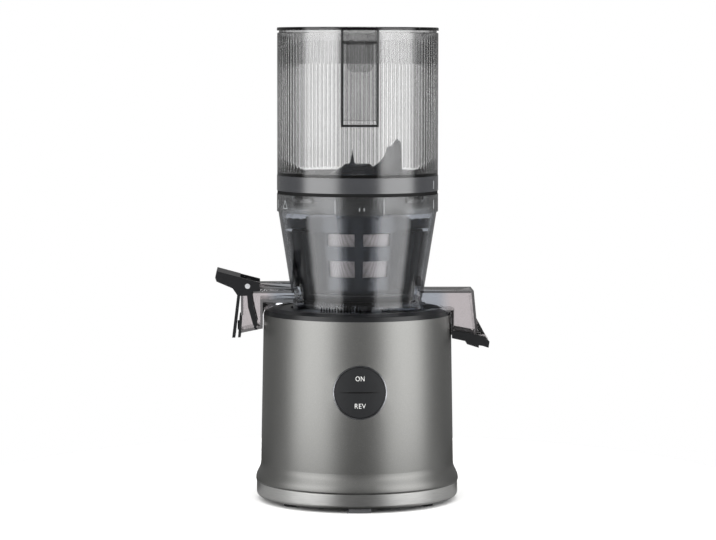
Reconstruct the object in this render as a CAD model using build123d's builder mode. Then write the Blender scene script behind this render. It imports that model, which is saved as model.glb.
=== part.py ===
"""Cold press juicer: a motor base, a juicing drum with strainer, auger and brush, a hopper and its lid.

Millimetres. Z is the drive axis and points up, Z = 0 is the surface the juicer stands on, and the
switch faces -Y. The juice spout is on the -X side and the residue spout on the +X side.
"""

import os
from math import acos, cos, pi, radians, sin, sqrt, tan

from build123d import *

# ---------------------------------------------------------------------------
# Driving dimensions
# ---------------------------------------------------------------------------

# Clearances and fits
shaft_fit = 0.05  # radial play of a shaft in its bearing, and of a pin in its lug
slip_fit = 0.3  # gap between pieces that slide or lift apart
seat_gap = 0.1  # gap under a piece that rests on another
side_play = 0.4  # sideways play between a lever and what it straddles

# Feet, bottom plate and skirt ring
foot_height = 4.0
foot_radius = 6.5
foot_stem_radius = 3.0
foot_inset = 15.4
foot_angle = 38.0
front_foot_width = 22.0
front_foot_depth = 10.0
front_foot_corner = 2.0
plate_thickness = 3.0
vent_count = 8
vent_reach = 42.0
vent_length = 16.0
vent_width = 3.0
skirt_inset = 0.7
skirt_height = 14.2
skirt_wall = 4.5
skirt_rebate = 1.0
skirt_round = 3.2

# Body shell
body_height = 163.6
body_taper = 2.7
flare_radius = 99.1
flare_overhang = 4.9
flare_height = 18.8
flare_lip = 1.8
shell_wall = 2.5
boss_inset = 12.4
boss_radius = 6.5
boss_height = 45.0
boss_angle = 25.0
case_screw_radius = 1.9
case_screw_length = 26.0
case_screw_head = 3.6

# Deck on top of the body
bevel_height = 4.2
bevel_inset = 1.8
deck_crown = 6.7
crown_width = 9.0
deck_step_share = 0.571
deck_step = 1.0
deck_wall = 3.0
deck_skirt = 12.0
well_depth = 4.5
hub_radius = 14.0
hub_height = 6.4
shaft_seal_height = 3.4
shaft_seal_radius = 12.0

# Switch in the front of the body
switch_height = 115.0
button_radius = 24.0
button_gap = 0.6
bezel_width = 1.1
bezel_proud = 0.5
bezel_depth = 4.35
button_depth = 5.75
switch_cup_wall = 5.4
switch_cup_depth = 14.0
trunnion_radius = 1.5
trunnion_length = 2.0
pivot_depth = 3.0
ear_width = 4.0
ear_height = 9.0
module_width = 30.0
module_height = 26.0
module_depth = 16.0
terminal_width = 6.0
terminal_thickness = 0.8
terminal_length = 7.0
plunger_radius = 2.0
plunger_spread = 12.0
plunger_gap = 1.2
groove_length = 33.0
groove_width = 1.2
groove_depth = 0.8

# Motor and gearbox
motor_radius = 48.0
stator_bore = 25.5
air_gap = 0.5
stator_height = 50.0
coil_inner = 28.0
coil_outer = 39.0
coil_height = 11.0
bell_wall = 4.0
motor_shaft_radius = 5.0
motor_bearing_radius = 11.0
motor_bearing_height = 7.0
bearing_lip = 1.0
head_share = 1.9
hub_wall = 3.0
carrier_floor = 5.0
fan_radius = 36.0
fan_height = 11.0
fan_blades = 9
fan_blade_thickness = 1.4
fan_disc = 1.2
bolt_radius = 2.0
mount_radius = 6.0
mount_height = 6.0
leg_radius = 5.0

pressure_angle = 25.0
gear_backlash = 0.25
pinion_teeth = 12
first_gear_teeth = 60
output_gear_teeth = 48
first_gear_height = 10.0
second_gear_height = 14.0
gear_space = 2.0
gear_room = 1.5
gearbox_gap = 0.75
counter_shaft_radius = 4.0
counter_bearing_radius = 9.0
counter_bearing_height = 5.0
housing_wall = 3.0
cover_thickness = 4.0
cover_drop = 25.0
output_shaft_radius = 9.0
output_bearing_radius = 15.0
output_bearing_height = 8.0
output_boss_wall = 4.0
gearbox_screw_radius = 1.5
gearbox_boss_radius = 4.0
hex_flats = 14.0
hex_fit = 0.1
hex_chamfer = 1.0
shaft_reach = 41.0

# Electrical pieces
board_gap = 3.8
board_depth = 26.0
board_thickness = 1.6
board_stand = 6.0
board_y = 63.5
relay_height = 12.0
relay_width = 18.0
relay_depth = 14.0
board_part_radius = 5.0
capacitor_radius = 14.0
capacitor_height = 58.0
capacitor_gap = 3.4
capacitor_angle = 156.2
capacitor_round = 1.5
gland_height = 47.0
gland_radius = 6.0
gland_bore = 3.5
gland_length = 13.0
gland_flange = 2.0

# Juicing drum
drum_skirt_radius = 63.2
drum_skirt_height = 11.4
drum_knee_radius = 66.7
drum_knee_height = 20.5
drum_lip_radius = 77.2
drum_cone_height = 66.1
drum_wall = 2.6
drum_ring_radius = 78.5
drum_ring_wall = 3.0
drum_ring_height = 17.0
floor_rise = 9.9
floor_thickness = 3.0
collar_radius = 15.5
collar_bore = 10.0
collar_height = 8.0
bayonet_depth = 1.9
bayonet_height = 3.0
bayonet_angle = 20.0
bayonet_count = 4
bayonet_gap = 1.0

# Juice spout, on the left
spout_half_width = 20.0
spout_wall = 2.4
tube_floor = 3.5
tube_room = 6.0
nozzle_length = 21.2
body_clearance = 0.9
nozzle_drop = 17.3
nozzle_slope = 0.2
mouth_height = 17.0
mouth_inset = 1.6
rail_height = 7.0
rail_half_width = 10.0
cap_pin_radius = 2.5
cap_pin_rise = 4.9
cap_pin_inset = 6.6
cap_lug_radius = 4.6
lever_arm_width = 4.0
lever_reach = 31.3
lever_leg = 50.0
lever_round = 1.2
cap_thickness = 2.6
cap_overlap = 4.5
cap_inset = 1.0

# Residue spout, on the right
duct_half_width = 23.0
duct_wall = 2.3
duct_room = 16.9
duct_length = 20.9
duct_drop = 14.2
duct_slope = 0.19
duct_lean = 0.1
channel_half_width = 13.0
slot_inner = 25.5
slot_outer = 35.5
flap_pin_radius = 2.0
flap_lug_radius = 6.0
flap_lug_width = 4.0
flap_lug_y = 14.0
flap_knuckle_radius = 4.2
flap_thickness = 7.5
flap_tip_thickness = 5.0
residue_pad_thickness = 1.2
flap_gap = 0.4

# Gears at the drum floor
drum_gear_module = 1.5
sun_teeth = 30
idler_teeth = 18
drum_gear_height = 6.0
ring_gear_wall = 3.8
idler_post_radius = 3.5

# Strainer
seat_wall_radius = 40.5
seat_wall = 4.0
seat_rise = 8.0
strainer_low_radius = 41.5
strainer_high_radius = 47.7
strainer_height = 59.0
strainer_wall = 2.4
strainer_ring_height = 3.0
strainer_foot_radius = 34.0
rim_height = 15.0
rim_radius = 50.5
rim_wall = 4.9
mesh_thickness = 0.5
mesh_margin = 7.0
low_window_rise = 15.0
low_window_height = 16.0
high_window_rise = 45.0
high_window_height = 13.0
window_angle = 36.0
window_pairs = 3
window_rib_angle = 10.0
strainer_tab_width = 16.0
strainer_tab_height = 11.0
strainer_key_width = 9.6
tab_gap = 1.2

# Brush
brush_low_radius = 56.0
brush_high_radius = 64.0
brush_arm_height = 60.7
brush_arm_wall = 4.0
brush_arm_angle = 66.0
wiper_thickness = 2.0
wiper_angle = 25.0

# Auger and cutting wing
auger_gap = 0.7
flight_pitch = 34.0
flight_thickness = 5.0
flight_margin = 11.0
core_low_radius = 22.0
core_high_radius = 16.0
auger_height = 103.0
insert_radius = 11.5
insert_length = 38.0
wing_dome_radius = 34.0
wing_dome_height = 26.0
wing_cap_radius = 12.0
wing_reach = 42.5
wing_tip_rise = 53.0
wing_thickness = 6.0
wing_curve = 32.0
wing_stem = 2.0

# Hopper
gasket_thickness = 3.3
gasket_width = 4.5
collar_ring_height = 14.7
hopper_radius = 78.2
hopper_wall = 2.5
hopper_height = 137.9
funnel_mouth = 46.0
funnel_wall = 2.5
funnel_rise = 2.9
funnel_slope = 0.525
spigot_length = 15.0
spigot_wall = 2.2

# Lid, chute and flap
lid_thickness = 3.0
lid_step = 1.9
lid_skirt_height = 32.0
lid_skirt_wall = 2.0
lid_round = 0.8
chute_width = 35.7
chute_depth = 33.0
chute_wall = 2.2
chute_length = 92.0
chute_slant = 6.6
chute_corner = 3.0
gate_width = 25.0
gate_length = 28.0
gate_thickness = 2.0
gate_corner = 6.0
gate_pin_radius = 1.5
gate_pin_drop = 14.7
gate_gap = 1.2

# ---------------------------------------------------------------------------
# Places worked out from them
# ---------------------------------------------------------------------------

skirt_radius = flare_radius - skirt_inset
body_foot_radius = flare_radius - flare_overhang
body_top_radius = body_foot_radius - body_taper
crown_radius = body_top_radius - crown_width
foot_ring = skirt_radius - foot_inset
boss_ring = skirt_radius - boss_inset
bolt_ring = motor_radius - bell_wall

plate_top = foot_height + plate_thickness
skirt_top = foot_height + skirt_height
shell_top = skirt_top + body_height
flare_top = skirt_top + flare_height
deck_top = shell_top + deck_crown
well_floor = deck_top - well_depth
well_radius = drum_skirt_radius + 6 * slip_fit
deck_step_radius = well_radius + (crown_radius - well_radius) * deck_step_share
deck_under = well_floor - deck_wall
hub_top = well_floor + hub_height

drum_base = well_floor + seat_gap
skirt_line = drum_base + drum_skirt_height
floor_under = drum_base + floor_rise
drum_floor = floor_under + floor_thickness
knee_line = skirt_line + drum_knee_height
lip_line = knee_line + drum_cone_height
drum_top = lip_line + drum_ring_height

gear_low = drum_floor + slip_fit
gear_top = gear_low + drum_gear_height
strainer_low = drum_floor + seat_rise
strainer_top = strainer_low + strainer_height
rim_top = strainer_top + rim_height

hopper_base = drum_top + gasket_thickness
collar_top = hopper_base + collar_ring_height
hopper_top = collar_top + hopper_height
lid_low = hopper_top + seat_gap + lid_step
lid_top = lid_low + lid_thickness

cover_top = deck_under - cover_drop
cover_low = cover_top - cover_thickness
second_gear_top = cover_low - 2 * gear_space
second_gear_low = second_gear_top - second_gear_height
first_gear_top = second_gear_low - gear_space
first_gear_low = first_gear_top - first_gear_height
housing_floor = first_gear_low - 2 * gear_space
housing_low = housing_floor - carrier_floor
stator_top = housing_low - coil_height - 2 * gear_space
stator_low = stator_top - stator_height
carrier_top = stator_low
carrier_low = stator_low - coil_height - carrier_floor - 2 * gear_space
fan_top = carrier_low - gear_space
fan_low = fan_top - fan_height
gearbox_reach = body_top_radius - shell_wall - gearbox_gap - housing_wall - gear_room
first_module = gearbox_reach / (pinion_teeth / 2 + first_gear_teeth + 1)
counter_y = first_module * (pinion_teeth + first_gear_teeth) / 2
second_module = 2 * counter_y / (pinion_teeth + output_gear_teeth)
hex_low = hub_top + gear_space
shaft_top = drum_floor + shaft_reach
insert_low = drum_floor + collar_height + 5 * slip_fit


def shell_radius(z):
    """Outer radius of the body shell at a height above its flare."""
    share = (z - flare_top) / (shell_top - flare_top)
    return body_foot_radius + (body_top_radius - body_foot_radius) * share


def between(low, high, share):
    """The value a given share of the way from one value to another."""
    return low + (high - low) * share


def drum_radius(z):
    """Outer radius of the drum's wall between its skirt and its top ring."""
    if z < knee_line:
        return between(drum_skirt_radius, drum_knee_radius, (z - skirt_line) / drum_knee_height)
    return between(drum_knee_radius, drum_lip_radius, (z - knee_line) / drum_cone_height)


def strainer_radius(z):
    """Outer radius of the strainer's wall."""
    return between(strainer_low_radius, strainer_high_radius, (z - strainer_low) / strainer_height)


def brush_radius(z):
    """Outer radius of the brush's arms."""
    return between(brush_low_radius, brush_high_radius, (z - strainer_low) / strainer_height)


# ---------------------------------------------------------------------------
# Shapes used more than once. Each adds to, or cuts from, the part being built.
# ---------------------------------------------------------------------------


def disc(radius, low, high, at=(0, 0), mode=Mode.ADD):
    """A round disc or post about a vertical axis."""
    with BuildSketch(Plane.XY.offset(low)) as face:
        with Locations(at):
            Circle(radius)
    extrude(face.sketch, amount=high - low, mode=mode)


def ring(outer, inner, low, high, at=(0, 0), mode=Mode.ADD):
    """A plain ring about a vertical axis."""
    with BuildSketch(Plane.XY.offset(low)) as face:
        with Locations(at):
            Circle(outer)
            Circle(inner, mode=Mode.SUBTRACT)
    extrude(face.sketch, amount=high - low, mode=mode)


def turned(points, mode=Mode.ADD):
    """A shape turned about the drive axis from its (radius, height) corners."""
    with BuildSketch(Plane.XZ) as face:
        with BuildLine():
            Polyline(*points, close=True)
        make_face()
    revolve(face.sketch, axis=Axis.Z, mode=mode)


def slab(points, near, far=None, mode=Mode.ADD):
    """A side outline of (x, z) corners, drawn from y = near to y = far, or that much each way."""
    low, high = (-near, near) if far is None else (near, far)
    with BuildSketch(Plane.XZ.offset(-low)) as face:
        with BuildLine():
            Polyline(*points, close=True)
        make_face()
    extrude(face.sketch, amount=low - high, mode=mode)


def cross_pin(radius, at, near, far=None, mode=Mode.ADD):
    """A round pin along Y at an (x, z) place."""
    low, high = (-near, near) if far is None else (near, far)
    with BuildSketch(Plane.XZ.offset(-low)) as face:
        with Locations(at):
            Circle(radius)
    extrude(face.sketch, amount=low - high, mode=mode)


def level_pin(radius, at, near, far, mode=Mode.ADD):
    """A round pin along X at a (y, z) place."""
    with BuildSketch(Plane.YZ.offset(near)) as face:
        with Locations(at):
            Circle(radius)
    extrude(face.sketch, amount=far - near, mode=mode)


def plate(width, depth, low, high, at=(0, 0), corner=0.0, mode=Mode.ADD):
    """A flat rectangular block, with its upright edges rounded if a corner radius is given."""
    with BuildSketch(Plane.XY.offset(low)) as face:
        with Locations(at):
            if corner:
                RectangleRounded(width, depth, corner)
            else:
                Rectangle(width, depth)
    extrude(face.sketch, amount=high - low, mode=mode)


def shaped(corner, width, height, *shares):
    """Corners of an outline, given as shares of a width and a height from one corner."""
    return [(corner[0] + across * width, corner[1] + up * height) for across, up in shares]


def polar(radius, angle, centre=(0, 0)):
    """The point at a radius and an angle in degrees round a centre."""
    return (centre[0] + radius * cos(radians(angle)), centre[1] + radius * sin(radians(angle)))


def radial_plane(angle):
    """The upright plane through the drive axis at an angle: x runs outwards and y runs up."""
    turn = radians(angle)
    return Plane(origin=(0, 0, 0), x_dir=(cos(turn), sin(turn), 0), z_dir=(sin(turn), -cos(turn), 0))


def fin(points, angle, thickness):
    """A flat upright fin drawn from its (radius, height) corners."""
    with BuildSketch(radial_plane(angle)) as face:
        with BuildLine():
            Polyline(*points, close=True)
        make_face()
    extrude(face.sketch, amount=thickness / 2, both=True)


def gear_outline(teeth, module, turn, clear, internal=False):
    """Corners of an involute gear's outline, with a tooth turned to the given angle.

    For an internal gear this is the outline of its hole, whose teeth are the ring's spaces.
    """
    pressure = radians(pressure_angle)
    pitch = module * teeth / 2
    base = pitch * cos(pressure)
    outside, inside = (1.25, 0.9) if internal else (0.95, 1.25)
    tip, root = pitch + outside * module, pitch - inside * module
    play = -clear if internal else clear
    half_tooth = pi / (2 * teeth) - play / (2 * pitch)

    def involute(angle):
        return tan(angle) - angle

    def flank(radius):
        roll = acos(min(1.0, base / radius))
        return half_tooth + involute(pressure) - involute(roll)

    start = max(base, root)
    radii = [between(start, tip, step / 3) for step in range(4)]
    side = [(radius, flank(radius)) for radius in radii]
    if root < base:
        side.insert(0, (root, side[0][1]))
    points = []
    for tooth in range(teeth):
        middle = radians(turn) + 2 * pi * tooth / teeth
        for radius, angle in side:
            points.append((radius * cos(middle - angle), radius * sin(middle - angle)))
        for radius, angle in reversed(side):
            points.append((radius * cos(middle + angle), radius * sin(middle + angle)))
    return points


def gear(teeth, module, turn, low, high, at=(0, 0)):
    """An external spur gear about a vertical axis."""
    corners = gear_outline(teeth, module, turn, gear_backlash)
    with BuildSketch(Plane.XY.offset(low)) as face:
        with BuildLine():
            Polyline(*[(at[0] + x, at[1] + y) for x, y in corners], close=True)
        make_face()
    extrude(face.sketch, amount=high - low)


def sector(outer, inner, middle, width, low, high, mode=Mode.ADD):
    """A stretch of ring about the drive axis, centred on an angle and so many degrees wide."""
    count = max(2, int(width // 30) + 1)
    reach = outer * 1.5
    fan = [(0, 0)]
    for step in range(count + 1):
        fan.append(polar(reach, middle - width / 2 + width * step / count))
    with BuildSketch(Plane.XY.offset(low)) as face:
        Circle(outer)
        Circle(inner, mode=Mode.SUBTRACT)
        with BuildLine():
            Polyline(*fan, close=True)
        make_face(mode=Mode.INTERSECT)
    extrude(face.sketch, amount=high - low, mode=mode)


# ---------------------------------------------------------------------------
# Base: skirt ring, shell, bottom plate and feet
# ---------------------------------------------------------------------------

foot_points = [
    polar(foot_ring, angle)
    for angle in (foot_angle, 180 - foot_angle, 180 + foot_angle, -foot_angle)
]
case_screw_points = [
    polar(boss_ring, angle)
    for angle in (90 - boss_angle, 90 + boss_angle, 270 - boss_angle, 270 + boss_angle)
]
skirt_inner = skirt_radius - skirt_wall
plate_radius = skirt_inner + skirt_rebate - seat_gap
board_length = 2 * (boss_ring * sin(radians(boss_angle)) - boss_radius - board_gap)
capacitor_ring = body_foot_radius - shell_wall - capacitor_radius - capacitor_gap
capacitor_at = polar(capacitor_ring, capacitor_angle)

with BuildPart() as base_ring:
    ring(skirt_radius, skirt_inner, foot_height, skirt_top)
    disc(skirt_inner + skirt_rebate, foot_height, plate_top, mode=Mode.SUBTRACT)
    bottom_edges = base_ring.edges().filter_by(GeomType.CIRCLE).group_by(Axis.Z)[0]
    fillet(bottom_edges.sort_by(SortBy.RADIUS)[-1], radius=skirt_round)

with BuildPart() as base_shell:
    with BuildSketch(Plane.XZ):
        with BuildLine():
            lip = (flare_radius, skirt_top + flare_lip)
            neck = (body_foot_radius, flare_top)
            Line((skirt_radius, skirt_top), lip)
            Spline(lip, neck, tangents=((0, 1), (0, 1)))
            Line(neck, (body_top_radius, shell_top))
            Line((body_top_radius, shell_top), (body_top_radius - shell_wall, shell_top))
            inner_lip = (flare_radius - shell_wall, skirt_top + flare_lip)
            inner_neck = (body_foot_radius - shell_wall, flare_top)
            Line((body_top_radius - shell_wall, shell_top), inner_neck)
            Spline(inner_neck, inner_lip, tangents=((0, -1), (0, -1)))
            Line(inner_lip, (skirt_radius - shell_wall, skirt_top))
            Line((skirt_radius - shell_wall, skirt_top), (skirt_radius, skirt_top))
        make_face()
    revolve(axis=Axis.Z)
    for point in case_screw_points:
        disc(boss_radius, plate_top, plate_top + boss_height, at=point)
        disc(
            case_screw_radius + shaft_fit,
            plate_top,
            foot_height + case_screw_length + gear_space,
            at=point,
            mode=Mode.SUBTRACT,
        )
    bezel_radius = button_radius + button_gap + bezel_width
    cross_pin(bezel_radius + seat_gap, (0, switch_height), -flare_radius, 0, mode=Mode.SUBTRACT)
    cross_pin(gland_radius + shaft_fit, (0, gland_height), 0, flare_radius, mode=Mode.SUBTRACT)

with BuildPart() as bottom_plate:
    disc(plate_radius, foot_height, plate_top)
    for point in foot_points:
        disc(foot_stem_radius, foot_height, plate_top, at=point, mode=Mode.SUBTRACT)
    for point in case_screw_points:
        disc(case_screw_radius + slip_fit, foot_height, plate_top, at=point, mode=Mode.SUBTRACT)
    with BuildSketch(Plane.XY.offset(foot_height)):
        with PolarLocations(vent_reach, vent_count, start_angle=180 / vent_count):
            SlotOverall(vent_length, vent_width)
        with PolarLocations(vent_reach - vent_length - 2 * vent_width, vent_count // 2):
            SlotOverall(vent_length, vent_width)
    extrude(amount=plate_thickness, mode=Mode.SUBTRACT)
    stand_x = board_length / 2 - 2 * foot_stem_radius
    stand_y = board_depth / 2 - foot_stem_radius
    for side in (-1, 1):
        for end in (-1, 1):
            stand = (side * stand_x, board_y + end * stand_y)
            disc(foot_stem_radius, plate_top, plate_top + board_stand, at=stand)
    ring(
        capacitor_radius + slip_fit + gear_space,
        capacitor_radius + slip_fit,
        plate_top,
        plate_top + capacitor_radius,
        at=capacitor_at,
    )

with BuildPart() as rubber_feet:
    for point in foot_points:
        disc(foot_radius, 0, foot_height, at=point)
        disc(foot_stem_radius, foot_height, plate_top, at=point)
    fillet(rubber_feet.edges().group_by(Axis.Z)[0], radius=foot_height / 5)

with BuildPart() as front_foot:
    front_foot_y = front_foot_depth / 2 + skirt_wall - skirt_radius
    plate(
        front_foot_width,
        front_foot_depth,
        0,
        foot_height,
        at=(0, front_foot_y),
        corner=front_foot_corner,
    )

with BuildPart() as case_screws:
    for point in case_screw_points:
        disc(case_screw_head, foot_height - case_screw_head / 2, foot_height, at=point)
        disc(case_screw_radius, foot_height, foot_height + case_screw_length, at=point)

with BuildPart() as deck_collar:
    skirt_out = body_top_radius - shell_wall - 2 * seat_gap
    skirt_in = skirt_out - shell_wall
    turned(
        [
            (body_top_radius, shell_top),
            (body_top_radius - bevel_inset, shell_top + bevel_height),
            (crown_radius, deck_top),
            (deck_step_radius, deck_top),
            (deck_step_radius, deck_top - deck_step),
            (well_radius, deck_top - deck_step),
            (well_radius, deck_under),
            (well_radius + deck_wall, deck_under),
            (well_radius + deck_wall, deck_top - deck_step - deck_wall),
            (skirt_in, deck_top - bevel_height - deck_step),
            (skirt_in, shell_top - deck_skirt),
            (skirt_out, shell_top - deck_skirt),
            (skirt_out, shell_top),
        ]
    )
    notch_half = duct_half_width + side_play + 2 * slip_fit
    with BuildSketch(Plane.XY.offset(deck_under)):
        Circle((skirt_in + skirt_out) / 2)
        with Locations((body_top_radius / 2, 0)):
            Rectangle(body_top_radius, 2 * (notch_half + deck_wall), mode=Mode.INTERSECT)
        Circle(well_radius, mode=Mode.SUBTRACT)
    extrude(amount=deck_wall)
    plate(
        body_top_radius,
        2 * notch_half,
        well_floor,
        deck_top,
        at=(well_radius - 3 * deck_wall + body_top_radius / 2, 0),
        mode=Mode.SUBTRACT,
    )

with BuildPart() as deck_well:
    # sunk floor that the drum stands on, with a hub round the drive shaft
    turned(
        [
            (well_radius, deck_under),
            (well_radius, well_floor),
            (hub_radius, well_floor),
            (hub_radius, hub_top),
            (shaft_seal_radius, hub_top),
            (shaft_seal_radius, hub_top - shaft_seal_height),
            (output_shaft_radius + slip_fit, hub_top - shaft_seal_height),
            (output_shaft_radius + slip_fit, deck_under),
        ]
    )

with BuildPart() as shaft_seal:
    ring(
        shaft_seal_radius,
        output_shaft_radius + shaft_fit,
        hub_top - shaft_seal_height,
        hub_top,
    )

with BuildPart() as cord_gland:
    gland_outside = shell_radius(gland_height) + gland_length / 3
    gland_inside = gland_outside - gland_length
    flange_at = shell_radius(gland_height) - shell_wall - seat_gap
    cross_pin(gland_radius, (0, gland_height), gland_inside, gland_outside)
    flange_radius = gland_radius + gland_flange
    cross_pin(flange_radius, (0, gland_height), gland_inside, flange_at - slip_fit)
    cross_pin(gland_bore, (0, gland_height), gland_inside, gland_outside, mode=Mode.SUBTRACT)

# ---------------------------------------------------------------------------
# Switch: a rocker that tips about a level axis, in a thin bezel that follows the shell
# ---------------------------------------------------------------------------

shell_front = shell_radius(switch_height)
bezel_back = shell_front - bezel_depth
button_back = shell_front - button_depth
cup_inner = button_radius + button_gap
cup_outer = cup_inner + switch_cup_wall
cup_back = button_back - switch_cup_depth
cup_floor = cup_back + 2 * gear_space
pivot_y = pivot_depth - button_back
pivot_at = (pivot_y, switch_height)
rod_half = cup_inner + trunnion_length


def follow_shell(offset):
    """Trims the part being built to the shell's own surface, moved out by an offset."""
    low_radius = shell_radius(skirt_top) + offset
    high_radius = shell_radius(shell_top) + offset
    turned(
        [(0, skirt_top), (low_radius, skirt_top), (high_radius, shell_top), (0, shell_top)],
        mode=Mode.INTERSECT,
    )


with BuildPart() as button_bezel:
    cross_pin(bezel_radius, (0, switch_height), -flare_radius, -bezel_back)
    cross_pin(cup_inner, (0, switch_height), -flare_radius, -bezel_back, mode=Mode.SUBTRACT)
    follow_shell(bezel_proud)

with BuildPart() as rocker_button:
    cross_pin(button_radius, (0, switch_height), -flare_radius, -button_back)
    follow_shell(0)
    plate(
        groove_length,
        4 * groove_depth,
        switch_height - groove_width / 2,
        switch_height + groove_width / 2,
        at=(0, -shell_front - groove_depth),
        mode=Mode.SUBTRACT,
    )
    for side in (-1, 1):
        plate(
            ear_width,
            2 * pivot_depth + trunnion_radius,
            switch_height - ear_height / 2,
            switch_height + ear_height / 2,
            at=(side * (button_radius - ear_width), pivot_y),
        )
    level_pin(trunnion_radius, pivot_at, -rod_half, rod_half)

with BuildPart() as switch_housing:
    cross_pin(cup_outer, (0, switch_height), -flare_radius, -cup_back)
    follow_shell(-shell_wall - seat_gap)
    relief_radius = bezel_radius + seat_gap
    cross_pin(relief_radius, (0, switch_height), -flare_radius, -bezel_back, mode=Mode.SUBTRACT)
    cross_pin(cup_inner, (0, switch_height), -flare_radius, -cup_floor, mode=Mode.SUBTRACT)
    rod_hole = trunnion_radius + shaft_fit
    rod_room = rod_half + seat_gap
    level_pin(rod_hole, pivot_at, -rod_room, rod_room, mode=Mode.SUBTRACT)
    for side in (-1, 1):
        cross_pin(
            plunger_radius + slip_fit,
            (0, switch_height + side * plunger_spread),
            -cup_floor,
            -cup_back,
            mode=Mode.SUBTRACT,
        )

with BuildPart() as switch_module:
    module_at = (0, module_depth / 2 - cup_back)
    module_low = switch_height - module_height / 2
    plate(module_width, module_depth, module_low, module_low + module_height, at=module_at)
    terminal_y = module_depth - cup_back
    for side in (-1, 1):
        plunger_at = (0, switch_height + side * plunger_spread)
        cross_pin(plunger_radius, plunger_at, plunger_gap - button_back, -cup_back)
        plate(
            terminal_width,
            terminal_length,
            plunger_at[1] - terminal_thickness / 2,
            plunger_at[1] + terminal_thickness / 2,
            at=(0, terminal_y + terminal_length / 2),
        )

# ---------------------------------------------------------------------------
# Motor
# ---------------------------------------------------------------------------

bolt_points = [polar(bolt_ring, 45 + 90 * corner) for corner in range(4)]
leg_points = [polar(bolt_ring, 90 * corner) for corner in range(4)]

with BuildPart() as motor_stator:
    ring(motor_radius, stator_bore, stator_low, stator_top)
    for point in bolt_points:
        disc(bolt_radius + seat_gap, stator_low, stator_top, at=point, mode=Mode.SUBTRACT)

with BuildPart() as motor_windings:
    for low in (stator_low - coil_height, stator_top):
        ring(coil_outer, coil_inner, low, low + coil_height)
    coil_ends = motor_windings.edges().filter_by(GeomType.CIRCLE).group_by(Axis.Z)
    fillet(coil_ends[0] + coil_ends[-1], radius=(coil_outer - coil_inner) / 3)

with BuildPart() as motor_rotor:
    disc(stator_bore - air_gap, stator_low - gear_space, stator_top + gear_space)
    disc(motor_shaft_radius, fan_low, first_gear_top)

with BuildPart() as motor_pinion:
    gear(pinion_teeth, first_module, 90, first_gear_low, first_gear_top)
    disc(motor_shaft_radius, first_gear_low, first_gear_top, mode=Mode.SUBTRACT)

with BuildPart() as cooling_fan:
    disc(motor_shaft_radius + hub_wall, fan_low, fan_top)
    disc(fan_radius, fan_top - fan_disc, fan_top)
    with BuildSketch(Plane.XY.offset(fan_low)):
        blade_length = fan_radius - motor_shaft_radius - hub_wall / 2
        with PolarLocations(motor_shaft_radius + hub_wall / 2 + blade_length / 2, fan_blades):
            Rectangle(blade_length - hub_wall / 2, fan_blade_thickness)
    extrude(amount=fan_height - fan_disc / 2)
    disc(motor_shaft_radius, fan_low, fan_top, mode=Mode.SUBTRACT)

lower_seat = carrier_low + bearing_lip
upper_seat = housing_floor - bearing_lip - motor_bearing_height

with BuildPart() as lower_carrier:
    ring(motor_radius, motor_radius - bell_wall, carrier_low, carrier_top)
    disc(motor_radius, carrier_low, carrier_low + carrier_floor)
    seat_top = lower_seat + motor_bearing_height
    disc(motor_bearing_radius + hub_wall, carrier_low, seat_top)
    disc(motor_bearing_radius, lower_seat, seat_top, mode=Mode.SUBTRACT)
    disc(motor_shaft_radius + bearing_lip, carrier_low, seat_top, mode=Mode.SUBTRACT)
    for point in leg_points:
        disc(leg_radius, plate_top + mount_height, carrier_low, at=point)
    for point in bolt_points:
        disc(bolt_radius * 2, carrier_low, carrier_top, at=point)
        disc(bolt_radius + seat_gap, carrier_low, carrier_top, at=point, mode=Mode.SUBTRACT)

with BuildPart() as vibration_mounts:
    for point in leg_points:
        disc(mount_radius, plate_top, plate_top + mount_height, at=point)

with BuildPart() as motor_bolts:
    for point in bolt_points:
        disc(bolt_radius, carrier_low, housing_low + carrier_floor / 2, at=point)
        disc(bolt_radius * head_share, carrier_low - bolt_radius, carrier_low, at=point)

with BuildPart() as motor_bearings:
    for low in (lower_seat, upper_seat):
        top = low + motor_bearing_height
        ring(motor_bearing_radius, motor_shaft_radius + shaft_fit, low, top)

# ---------------------------------------------------------------------------
# Gearbox: a pinion and gear down to a countershaft beside the motor, and back to the drive axis
# ---------------------------------------------------------------------------

counter_at = (0, counter_y)
near_room = second_module * (output_gear_teeth / 2 + 1) + gear_room
far_room = first_module * (first_gear_teeth / 2 + 1) + gear_room
near_outer = near_room + housing_wall
far_outer = far_room + housing_wall
waist_x = far_outer - gearbox_boss_radius
near_boss = near_outer + gearbox_boss_radius / 2
far_boss = far_outer + gearbox_boss_radius / 4
gearbox_screw_points = [
    polar(near_boss, 225),
    polar(near_boss, 315),
    polar(far_boss, 45, counter_at),
    polar(far_boss, 135, counter_at),
    (waist_x, counter_y / 2),
    (-waist_x, counter_y / 2),
]
counter_low_seat = housing_floor - counter_bearing_height
counter_high_seat = cover_low - gear_space
boss_top = deck_under - gear_space
output_seat = boss_top - gear_space - output_bearing_height


def gearbox_outline(low, high, near, far, mode=Mode.ADD):
    """The gearbox's two joined round rooms, or the walls round them."""
    disc(near, low, high, mode=mode)
    disc(far, low, high, at=counter_at, mode=mode)


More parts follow.
